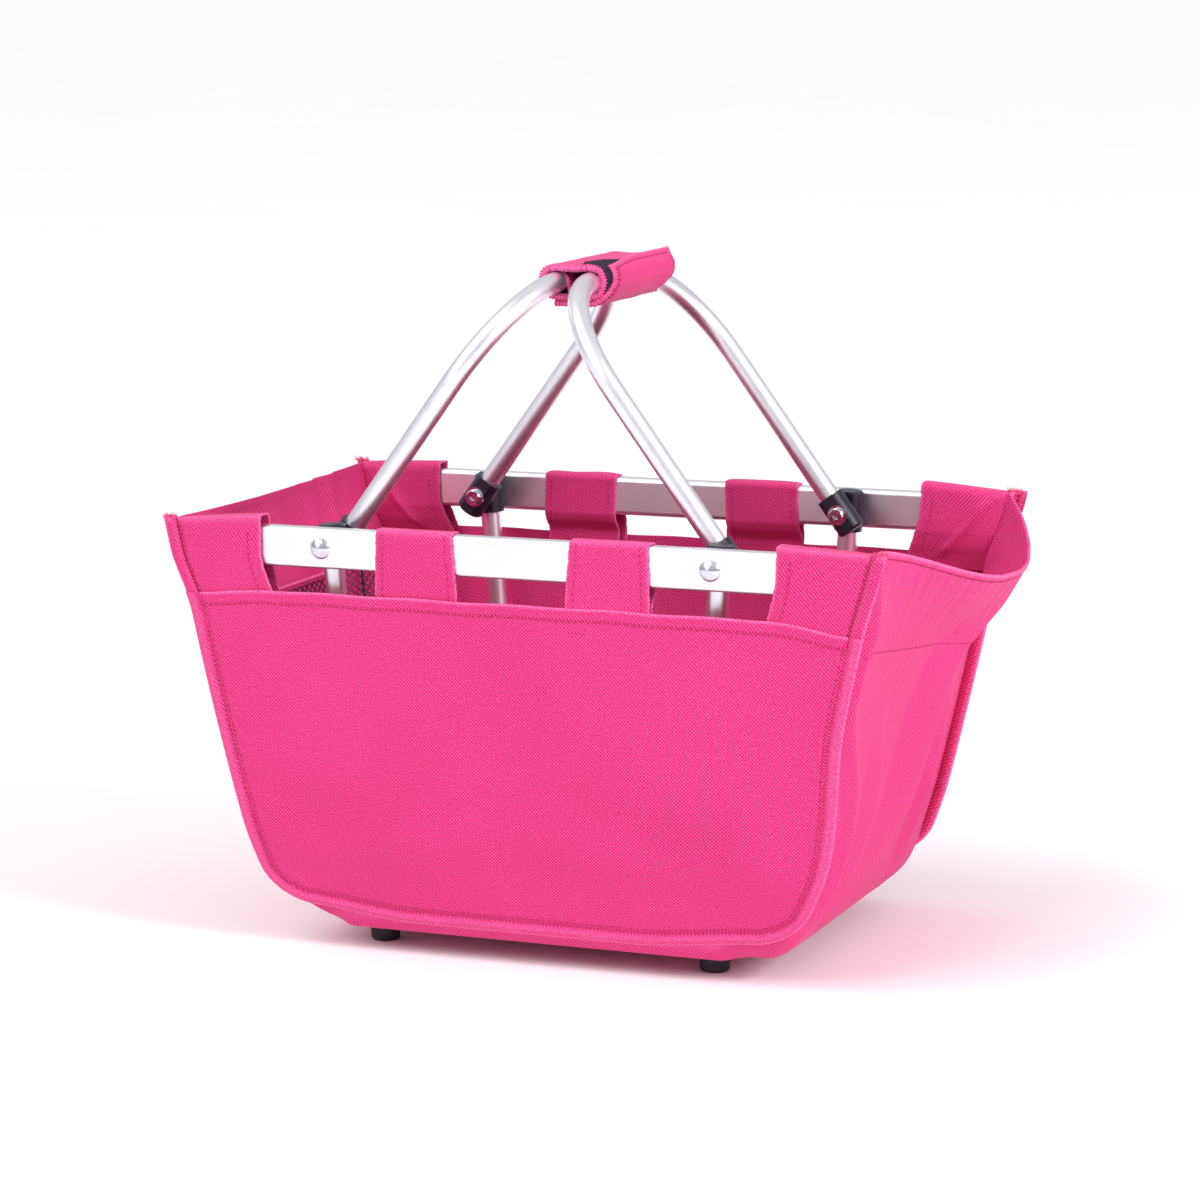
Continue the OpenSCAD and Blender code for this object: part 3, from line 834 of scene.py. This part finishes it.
def ring_section(low, tail):
    """Section of cloth laid over a rail, from low on its outer side to the end of its tail inside. Gives
    columns of the distance from the middle of the bag, the height and the run along the cloth."""
    corners = [(RING_Y, low), (RING_Y, TOP_Z), (RING_IN_Y, TOP_Z), (RING_IN_Y, rail_low.z), *tail]
    section = respaced(rounded(corners, RING_BEND, 8), RING_ROWS)
    return section[:, :1], section[:, 1:], along(section)[:, None]


def over_rail(z):
    """1 where cloth lies on top of a rail and 0 where it hangs beside it."""
    return step_up(z - TOP_Z, -6, 5)


def sleeve_face(x, z, face, proud=0.0):
    """A point of a corner sleeve's outer face, in front of the rail."""
    d = inset(x, z)
    soft = 0.7 * MM * (1 + waves(x, z, 41, 60 * MM)) * smooth((d - STITCH_ROW) / (12 * MM))
    return hung_point(x, z, face, RING_Y + soft + flange_relief(d) + proud)


def free_edge(z):
    """Where a sleeve's open end lies: it widens towards the hem."""
    return SLEEVE_X + 3 * MM - 5 * MM * step_down(z, 252, 40)


def corner_sleeve(name, side, face, cad_node):
    """A sleeve over a rail's end. Its front lies in the long face, its back gathers beside the corner."""
    low = hem_line(side * SLEEVE_X) - 8 * MM
    tail = [(RING_IN_Y + 1.5 * MM, rail_low.z - 9 * MM), (RING_Y - 7 * MM, HEM_Z - 9 * MM)]
    out, z, run = ring_section(low, tail)
    front_run = TOP_Z - low
    past = step_up(run - front_run, -1, 8)
    outer = side_x(z) - past * (SEAM + CLOTH - 0.4 * MM) / COS
    inner = free_edge(z) + 0.25 * MM * waves(run, run, 51, 5 * MM)
    share = np.linspace(0, 1, SLEEVE_COLUMNS)[None, :]
    x = side * (inner + share * (outer - inner))
    flat_z = np.broadcast_to(z, x.shape)
    crease = 2.6 * MM * bell((share - 0.8 + 0.35 * (TOP_Z - z) / (40 * MM)) / 0.07)
    gather = 0.4 * MM * (1 + waves(x, run, 43, 40 * MM)) + crease * step_up(run, 60, 10)
    gather *= smooth((1 - share) / 0.06) * (1 - step_up(run - run.max(), -16, 10))
    lifted = over_rail(z)
    ring = hung_point(x, flat_z, face, out - (1 - lifted) * gather)
    ring[..., 2] += lifted * gather
    grid = sleeve_face(x, flat_z, face) * (1 - past[..., None]) + ring * past[..., None]
    grid[..., 2] += (4 + side * face) * MM * (1 - share) * step_up(z, 250, 16)
    # Paler at the free edge and along the bend over the rail's top: partly wear, partly painted highlight.
    wear_and_highlight = bell(share * (outer - inner) / (1.0 * MM)) + 0.7 * bell((run - front_run) / (2.5 * MM))
    axis = (side * (SLEEVE_X + 30 * MM), face * RING_MIDDLE_Y, RAIL_Z)
    sleeve = cloth_sheet(name, grid, joined(x, run), axis, [PINK], wear_and_highlight=np.clip(wear_and_highlight, 0, 1))
    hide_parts(cad_node)
    levels = np.linspace(hem_line(side * SLEEVE_X) + 0.5 * MM, TOP_Z - 4.5 * MM, 30)
    front = sleeve_face(side * (free_edge(levels) + EDGE_STITCH), levels, face, THREAD_LIFT)
    column = round(EDGE_STITCH / (TOP_HALF - SLEEVE_X - SEAM) * (SLEEVE_COLUMNS - 1))
    rows = [(front, (0, face, 0)), (part(grid[:, column], 0.6, 0.9), (0, -face, 0))]
    return sleeve, (TOP_HALF - SLEEVE_X, float(run[-1, 0])), rows


def belt_loop(name, side, face, cad_node):
    """A loop of cloth over a rail, sewn to the panel in front. Its tail hangs inside over the hook tape."""
    tail_y = RING_Y - 4.1 * MM
    tail = [(RING_IN_Y + 2.2 * MM, rail_low.z - 5 * MM), (tail_y, HEM_Z + 4 * MM), (tail_y, HEM_Z - 6 * MM)]
    out, z, run = ring_section(loop_low.z, tail)
    share = np.linspace(-1, 1, LOOP_COLUMNS)[None, :]
    seed = 60 + 2 * side + face
    front_run = TOP_Z - loop_low.z
    flare = 1.8 * MM * smooth((front_run - run) / (40 * MM))
    ragged = 0.3 * MM * waves(run, 0 * run, seed, 4.5 * MM)
    lean = 1.5 * MM * (run / front_run - 1) * side
    x = side * LOOP_X + share * (LOOP_HALF - 0.5 * MM + flare + ragged) + lean
    swell = 0.45 * MM * (1 + waves(x, run, seed, 45 * MM)) * (1 - share**6)
    lifted = over_rail(z)
    free = step_up(run, 24, 10)
    front = step_up(out - RING_IN_Y, 5, 5)
    push = swell * free * (0.1 + 0.9 * front)
    y = face * (out + (1 - lifted) * (0.4 * MM * (1 - front) + (2 * front - 1) * push))
    grid = joined(x, y, z + lifted * push)
    # Paler at both edges and along the bend over the rail's top: partly wear, partly painted highlight.
    wear_and_highlight = bell((1 - np.abs(share)) / 0.03) + 0.6 * bell((run - front_run) / (2.5 * MM))
    axis = (side * LOOP_X, face * RING_MIDDLE_Y, RAIL_Z)
    loop = cloth_sheet(name, grid, joined(x, run), axis, [PINK], wear_and_highlight=np.clip(wear_and_highlight, 0, 1))
    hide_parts(cad_node)
    rows = []
    for edge in (-1, 1):
        across = 0.5 + edge * (0.5 - 5.2 * MM / (2 * LOOP_HALF))
        line = grid[:, round(across * (LOOP_COLUMNS - 1))]
        # In front up to the rail's top, and inside from below its top down the tail
        rows.append((part(line, 0.12, 0.485), (0, face, 0)))
        rows.append((part(line, 0.585, 0.835), (0, -face, 0)))
    return loop, (2 * LOOP_HALF, float(run[-1, 0])), rows


# ---------- tapes, net pocket and frayed corners

def hook_field(name, points, outward, length, thick=0.22 * MM, body="basket"):
    """Little bent bristles of a hook tape, one at each point."""
    rng = np.random.default_rng(7)
    lean = unit(rng.normal(size=points.shape)) * 0.35 * length
    vertices, faces = [], []
    for point, up, bend in zip(points, np.broadcast_to(outward, points.shape), lean):
        side = unit(np.cross(up, bend)) * thick
        forward = unit(np.cross(side, up)) * thick
        square = np.array([side + forward, forward - side, -side - forward, side - forward])
        middle, tip = point + up * length * 0.65, point + up * length + bend
        add_tube(vertices, faces, [point + square, middle + 0.75 * square, [tip]])
    return loose_mesh(name, vertices, faces, HOOKS, body)


def corner_place(corner):
    """Face and side of a corner named as in the CAD, such as fl for front left."""
    return FRONT if corner[0] == "f" else REAR, LEFT if corner[1] == "l" else RIGHT


def loop_tape(corner):
    """The hook tape under the tail of a belt loop."""
    face, side = corner_place(corner)
    half = LOOP_HALF - 3 * MM
    x, z = np.meshgrid(side * LOOP_X + np.linspace(-half, half, 24), np.linspace(tape_low.z, tape_high.z, 8))
    bow = 0.25 * MM * waves(x, z, 91, 30 * MM)
    y = face * (tape_high.y - 0.3 * MM + np.minimum(bow, 0.2 * MM))
    behind = (side * LOOP_X, face * (tape_high.y - 20 * MM), (tape_low.z + tape_high.z) / 2)
    tape = cloth_sheet("loop_tape_" + corner, joined(x, y, z), joined(x, z), behind, [NAVY_LINING],
                       thickness=0.7 * MM)
    spacing = 1.6 * MM
    hook_x, hook_z = np.meshgrid(np.arange(-half, half, spacing) + spacing / 2 + side * LOOP_X,
                                 np.arange(tape_low.z, tape_high.z, spacing) + spacing / 2)
    roots = joined(hook_x, face * (tape_high.y - 1.0 * MM), hook_z).reshape(-1, 3)
    hooks = hook_field("loop_tape_hooks_" + corner, roots, (0, -face, 0), length=0.5 * MM)
    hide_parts("loop_tapes")


def net_point(y, z):
    """A point of the net pocket, which hangs just inside the left end and bags a little."""
    share = y / PANEL_Y
    bag = 4 * MM * (1 - (y / net_high.y) ** 2) * smooth((z - net_low.z) / (net_high.z - net_low.z))
    return end_point(LEFT, end_top(LEFT, share) - z, share, -(CLOTH + 2.2 * MM + bag))


def net_pocket():
    """A net of diamond meshes with a folded binding along its upper edge."""
    half_w, half_h = 3.6 * MM, 2.6 * MM
    columns, rows = int(net_high.y / half_w), int((net_high.z - net_low.z) / half_h)
    i, j = np.meshgrid(np.arange(-columns, columns + 1), np.arange(rows + 1))
    rise = NET_RISE * (j / rows)
    points = net_point(i * half_w + 0.25 * MM * waves(i, j, 5, 9), net_low.z + j * half_h + rise)
    index = np.arange(i.size).reshape(i.shape)
    centres = ((i + j) % 2 == 1)[1:-1, 1:-1]
    around = np.stack([index[:-2, 1:-1], index[1:-1, 2:], index[2:, 1:-1], index[1:-1, :-2]], -1)[centres]
    net = loose_mesh("net_pocket", points.reshape(-1, 3), around.tolist(), NET_THREAD)
    strands = net.modifiers.new("strands", "WIREFRAME")
    strands.thickness = 1.0 * MM
    strands.use_even_offset = False
    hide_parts("mesh_pocket")
    y = np.linspace(-net_high.y, net_high.y, 120)
    top = net_high.z + NET_RISE
    inward = -end_outward(LEFT, net_point(y, top))
    edge, below = net_point(y, top + 0.6 * MM), net_point(y, top - 2 * MM)
    binding = folded_band("net_binding", edge, below, inward, 2 * MM, BINDING, proud=0.3 * MM)
    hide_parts("pocket_binding")
    thread_line = net_point(y, top - 0.6 * MM) + inward * 0.85 * MM
    seam_stitches("net_binding_stitching", [(thread_line, inward)], length=2.4 * MM)


def frayed_corner(name, side, face, seed):
    """The cut corner of the flange with its loose yarn ends."""
    rng = np.random.default_rng(seed)
    vertices, faces = [], []
    turn = np.linspace(0, 2 * math.pi, 3, endpoint=False)[:, None]
    for _ in range(90):
        d = rng.uniform(-0.3, 9) * MM
        x, z = hang(side * (side_x(TOP_Z) - d), TOP_Z + 0.4 * MM, FRONT)
        root = np.array([x, face * (RING_Y - rng.uniform(0.2, 3.4) * MM), z])
        reach = rng.uniform(0.8, 3.2) * MM * (1 if rng.uniform() < 0.85 else 1.5)
        sideways, outwards, upwards = rng.uniform(-0.6, 0.9), rng.uniform(-0.5, 0.6), rng.uniform(0.3, 1.0)
        aim = unit(np.array([side * sideways, face * outwards, upwards]))
        curl = unit(rng.normal(size=3)) * reach * 0.35
        thick = rng.uniform(0.14, 0.30) * MM
        side_way = unit(np.cross(aim, curl))
        ring = thick * (side_way * np.cos(turn) + unit(np.cross(side_way, aim)) * np.sin(turn))
        add_tube(vertices, faces, [root + aim * reach * share + curl * share**2 + ring * (1 - 0.5 * share)
                                   for share in (0, 0.5, 1)])
    return loose_mesh(name, vertices, faces, FRAY_THREAD)


# ---------- padded grip

GRIP_Z = (wrap_low.z + wrap_high.z) / 2
PAD_R = (wrap_high.z - wrap_low.z) / 2
GRIP_HALF = wrap_high.x
BAR_X = GRIP_HALF - PAD_R
PAD = 3.5 * MM
PAD_CLOTH = [PINK_PAD, NAVY_LINING]
GRIP_FRONT, GRIP_REAR = wrap_low.y, wrap_high.y
ROUND = np.linspace(0, 1, GRIP_ROWS)[:, None]      # how far round a layer each row of its grid is


def grip_layer(name, section, front, rear, thickness, materials, seed, end_share=np.ones_like, columns=70,
               swell=0.5 * MM):
    """A layer wrapped round the bars. section is its outer line (x, z) from the middle of the bars. front
    and rear are its edges, each a number or one value for each row of ROUND. end_share says how much of
    the line it follows at each y."""
    line = respaced(rounded(section, 7 * MM, 8), 160)
    travelled = along(line)
    along_share = np.linspace(0, 1, columns)[None, :]
    y = np.broadcast_to(front + along_share * (rear - front), (GRIP_ROWS, columns))
    run = ROUND * travelled[-1] * end_share(y)
    x = np.interp(run, travelled, line[:, 0])
    z = np.interp(run, travelled, line[:, 1])
    tangent = unit(np.gradient(line, axis=0))
    out_x = np.interp(run, travelled, -tangent[:, 1])
    out_z = np.interp(run, travelled, tangent[:, 0])
    if (out_x * x + out_z * z).sum() < 0:
        out_x, out_z = -out_x, -out_z
    from_edge = np.minimum(np.minimum(y - front, rear - y), np.minimum(run, run.max(0) - run))
    puffed = swell * (0.6 + 0.6 * waves(run, y, seed, 26 * MM)) * step_up(from_edge, 3.2, 6)
    pinched = -0.55 * MM * bell_at(from_edge, 3, 0.9) - 0.5 * MM * bell(from_edge / (0.9 * MM))
    push = puffed + pinched
    grid = joined(x + out_x * push, y, GRIP_Z + z + out_z * push)
    # Paler at the edges and along the pad's top: partly wear, partly painted highlight.
    wear_and_highlight = 0.8 * bell(from_edge / (1.3 * MM)) + 0.2 * bell((z - PAD_R) / (3 * MM))
    layer = cloth_sheet(name, grid, joined(run, y), (0, 0, GRIP_Z), materials, thickness=thickness,
                        wear_and_highlight=np.clip(wear_and_highlight, 0, 1), body="grip_left")
    return layer, grid, joined(out_x, 0, out_z)


def overlock(name, grid, outs, column=0):
    """Close stitches across a layer's front edge, which is its first column, or its rear one, the last."""
    edge, outward = grid[:, column], outs[:, column]
    inner = np.array([0, 1 if column == 0 else -1, 0])
    travelled = along(edge)
    rows = []
    for at in np.arange(0.8 * MM, travelled[-1], 1.9 * MM):
        point, up = sampled(edge, travelled, at), sampled(outward, travelled, at)
        stitch = np.stack([point + up * 0.1 * MM, point + inner * 2.5 * MM + up * 0.5 * MM])
        rows.append((stitch, unit(up)))
    return seam_stitches(name, rows, EDGE_THREAD, length=2.4 * MM, gap=0.02 * MM, thick=1.3 * MM,
                         body="grip_left")


def grip_wrap():
    """The wrap round both bars."""
    right, left, low = GRIP_HALF, -GRIP_HALF, -PAD_R
    line = [
        (0.4 * right, low), (0.8 * right, low + 1.5 * MM), (right, 0), (0.86 * right, 0.85 * PAD_R),
        (BAR_X, PAD_R), (0, PAD_R - 0.8 * MM), (-BAR_X, PAD_R), (0.86 * left, 0.85 * PAD_R), (left, 0),
        (0.86 * left, -0.85 * PAD_R), (-BAR_X, low), (0, low - 0.2 * MM), (0.35 * right, low - 0.1 * MM),
    ]
    front = GRIP_FRONT + 1.2 * MM * np.sin(9 * ROUND) - 3 * MM * bell((ROUND - 0.64) / 0.1)
    wrap, grid, outs = grip_layer("grip_pad", line, front, GRIP_REAR, PAD, PAD_CLOTH, 81, swell=0.7 * MM)
    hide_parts("grip_wrap")
    overlock("grip_pad_overlock", grid, outs)
    overlock("grip_pad_overlock_rear", grid, outs, -1)


def raised_row(grid, outs, where, lift):
    """A stitch line on a layer, along part of one of its rows or columns."""
    return grid[where] + outs[where] * lift, outs[where]


def grip_flap():
    """The flap that closes the wrap, from below the bars up their right side."""
    right, low, lift = GRIP_HALF, -PAD_R, PAD + 0.2 * MM
    line = [
        (-0.6 * right, low - lift), (0, low - lift), (0.6 * right, low - lift), (0.97 * right, -0.8 * PAD_R),
        (right + lift, -0.1 * PAD_R), (right + lift, 0.5 * PAD_R), (right + 0.8 * MM, PAD_R - 0.5 * MM),
        (right - 0.8 * MM, PAD_R + 3.5 * MM),
    ]
    front = GRIP_FRONT + 2 * MM + 6 * MM * smooth((ROUND - 0.45) / 0.5)
    to_corner = 1 - np.clip(ROUND / 0.5, 0, 1)
    rear = GRIP_REAR + 12 * MM - 20 * MM * (1 - np.sqrt(1 - to_corner**2))
    flap, grid, outs = grip_layer(
        "grip_flap_pad", line, front, rear, PAD - 0.5 * MM, PAD_CLOTH, 83,
        end_share=lambda y: 0.94 + 0.06 * smooth((y - GRIP_FRONT) / (50 * MM)))
    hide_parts("grip_flap")
    # Rows and columns of the grid: twice along the front edge, then the closing edge and the rear one
    rows = [raised_row(grid, outs, np.s_[40:146, column], 0.25 * MM) for column in (3, 5)]
    rows.append(raised_row(grid, outs, np.s_[140, 5:66], 0.2 * MM))
    rows.append(raised_row(grid, outs, np.s_[30:141, 66], 0.2 * MM))
    seam_stitches("grip_flap_stitching", rows, length=2.6 * MM, gap=0.8 * MM, body="grip_left")
    overlock("grip_flap_overlock", grid, outs)


def grip_tape():
    """The hook tape that shows beside the flap's closing edge, with its bristles."""
    right, low = GRIP_HALF, -PAD_R
    line = [
        (0.72 * right, low + 1.8 * MM), (right + 0.9 * MM, -0.2 * PAD_R), (right + 0.9 * MM, 0.3 * PAD_R),
        (0.93 * right, 0.9 * PAD_R), (0.5 * right, PAD_R + 1.4 * MM), (0.15 * right, PAD_R + 0.9 * MM),
    ]
    tape, grid, outs = grip_layer(
        "grip_hook_tape", line, GRIP_FRONT + 2.2 * MM, GRIP_REAR - 2 * MM, 0.8 * MM, [NAVY_LINING], 85,
        end_share=lambda y: 0.95 - 0.3 * step_up(y - GRIP_FRONT, 8, 45), columns=80, swell=0.0)
    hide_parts("grip_tape")
    hooked = np.s_[3:-3:3, 1:-1]
    roots = (grid + outs * 0.02 * MM)[hooked].reshape(-1, 3)
    hook_field("grip_hooks", roots, outs[hooked].reshape(-1, 3), length=0.75 * MM, thick=0.16 * MM,
               body="grip_left")


def grip_liner():
    """The inner lip that lines the wrap round the left bar."""
    reach = PAD_R - PAD
    line = [
        (-BAR_X - reach, -3 * MM), (-BAR_X - reach, 2 * MM), (-BAR_X - 0.7 * reach, 0.75 * reach),
        (-BAR_X, reach), (-BAR_X + 0.75 * reach, 0.7 * reach), (-BAR_X + reach, 0),
        (-BAR_X + reach + 1.2 * MM, -7 * MM),
    ]
    _, grid, outs = grip_layer(
        "grip_liner", line, GRIP_FRONT + 1 * MM + 2 * MM * ROUND, 0.5 * GRIP_REAR, 1.3 * MM, PAD_CLOTH, 87,
        columns=50, swell=0.0)
    overlock("grip_liner_overlock", grid, outs)


def padded_grip():
    grip_wrap()
    grip_flap()
    grip_tape()
    grip_liner()


# ---------- build the bag

def build_bag():
    """Make every piece of the bag."""
    for name, face, cad_node in (("panel_front", FRONT, "front_panel"), ("panel_rear", REAR, "rear_panel")):
        panel, flat, area = long_panel(name, face, cad_node)
        band, hem_row = panel_hem(name + "_hem", face)
        back = flange_back(name + "_flange", face)
        stitching = seam_stitches(name + "_stitching", [hem_row] + flange_rows(face))
        back_stitching = seam_stitches(name + "_flange_stitching", [flange_back_row(face)], EDGE_THREAD)
    strip, strip_flat = gusset_strip()
    pieces = []
    for name, side in (("end_hem_left", LEFT), ("end_hem_right", RIGHT)):
        band, rows = end_hem(name, side)
        pieces += [band, seam_stitches(name + "_stitching", rows)]
    for corner in ("fl", "fr", "rl", "rr"):
        face, side = corner_place(corner)
        for kind, make in (("sleeve", corner_sleeve), ("loop", belt_loop)):
            cloth, flat, rows = make(kind + "_cloth_" + corner, side, face, kind + "_" + corner)
            stitching = seam_stitches(kind + "_stitching_" + corner, rows)
        loop_tape(corner)
        frayed_corner("frayed_corner_" + corner, side, face, 100 + 2 * side + face)
    net_pocket()


build_bag()
padded_grip()


# ---------- finishes of the CAD nodes

def finish_node(name, material):
    cad_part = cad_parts[name]
    for slot in cad_part.material_slots:
        slot.material = material
    if not cad_part.material_slots:
        cad_part.data.materials.append(material)


NODE_FINISHES = {
    "rail_plug": CAP_PLASTIC, "rail": RAIL_METAL, "leg_cap": CAP_PLASTIC, "handle_cap": CAP_PLASTIC,
    "leg_frame": LEG_METAL, "handle": HANDLE_METAL, "bolt": CHROME, "washer": CHROME, "nut": CHROME,
    "foot_rivets": CHROME, "foot": FOOT_RUBBER, "base_board": BOARD_PLASTIC,
}
for node_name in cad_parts:
    kinds = [kind for kind in NODE_FINISHES if node_name.startswith(kind)]
    if kinds:
        finish_node(node_name, NODE_FINISHES[max(kinds, key=len)])


# ---------- floor, light and camera

CAMERA_AZIMUTH, CAMERA_ELEVATION = math.radians(22), math.radians(9.7)
CAMERA_ROLL = math.radians(-0.4)
CAMERA_DISTANCE = 2.513
CAMERA_TARGET = Vector((1.3 * MM, 0, 207.6 * MM))
LIGHT_AIM = Vector((0, 0, 0.2))


def studio_floor():
    """A wide pale floor."""
    bpy.ops.mesh.primitive_circle_add(radius=60, vertices=96, fill_type="NGON")
    floor = bpy.context.object
    floor.name = "studio_floor"
    material, tree, shader = new_material("studio_floor", "none")
    dust = noise(tree, object_point(tree), 3, 3)
    feed(tree, shader, "Base Color", mix_colour(tree, dust, (0.90, 0.90, 0.91), (0.93, 0.93, 0.94)))
    preset(shader, Roughness=0.85)
    floor.data.materials.append(material)


def put(name, data, turn, place=(0, 0, 0)):
    """A light or camera in the scene, turned by a quaternion."""
    made = bpy.data.objects.new(name, data)
    made.location = place
    made.rotation_mode = "QUATERNION"
    made.rotation_quaternion = turn
    bpy.context.scene.collection.objects.link(made)
    return made


def soft_light(name, place, size, power, colour=(1, 1, 1)):
    """A broad light that points at the basket."""
    data = bpy.data.lights.new(name, "AREA")
    data.shape = "RECTANGLE"
    data.size, data.size_y = size
    data.energy = power
    data.color = colour
    put(name, data, (LIGHT_AIM - Vector(place)).to_track_quat("-Z", "Y"), place)


def daylight(direction, strength):
    """Broad soft light from one side, the same everywhere, that keeps the whole floor pale."""
    data = bpy.data.lights.new("daylight", "SUN")
    data.energy = strength
    data.angle = math.radians(50)
    put("daylight", data, Vector(direction).to_track_quat("Z", "Y"))


def sky():
    """Even pale light that is a little dimmer and cooler near the horizon, so that the metal shows form."""
    world = bpy.data.worlds.new("studio_sky")
    world.use_nodes = True
    bpy.context.scene.world = world
    tree = world.node_tree
    split = node(tree, "SeparateXYZ")
    tree.links.new(node(tree, "TexCoord").outputs["Generated"], split.inputs[0])
    height = remap(tree, split.outputs["Z"], 0.0, 0.7)
    back = tree.nodes["Background"]
    feed(tree, back, "Color", mix_colour(tree, height, (0.62, 0.59, 0.68), (1.0, 1.0, 1.0)))
    preset(back, Strength=0.75)


def camera():
    """The photo's view, from the front and a little to the right."""
    flat = math.cos(CAMERA_ELEVATION)
    back = Vector((math.sin(CAMERA_AZIMUTH) * flat, -math.cos(CAMERA_AZIMUTH) * flat,
                   math.sin(CAMERA_ELEVATION)))
    data = bpy.data.cameras.new("camera")
    data.lens = 120
    data.sensor_width = 36
    made = put("camera", data, (-back).to_track_quat("-Z", "Y"), CAMERA_TARGET + back * CAMERA_DISTANCE)
    made.rotation_mode = "XYZ"
    made.rotation_euler.rotate_axis("Z", CAMERA_ROLL)
    bpy.context.scene.camera = made


studio_floor()
sky()
soft_light("key", place=(-1.3, -2.6, 1.3), size=(1.6, 1.6), power=6)
soft_light("fill", place=(4.3, -1.3, 2.4), size=(1.3, 1.8), power=165, colour=(1.0, 0.97, 1.0))
daylight(direction=(-0.45, -0.55, 0.8), strength=1.6)
camera()
bpy.context.scene.view_settings.view_transform = "Standard"
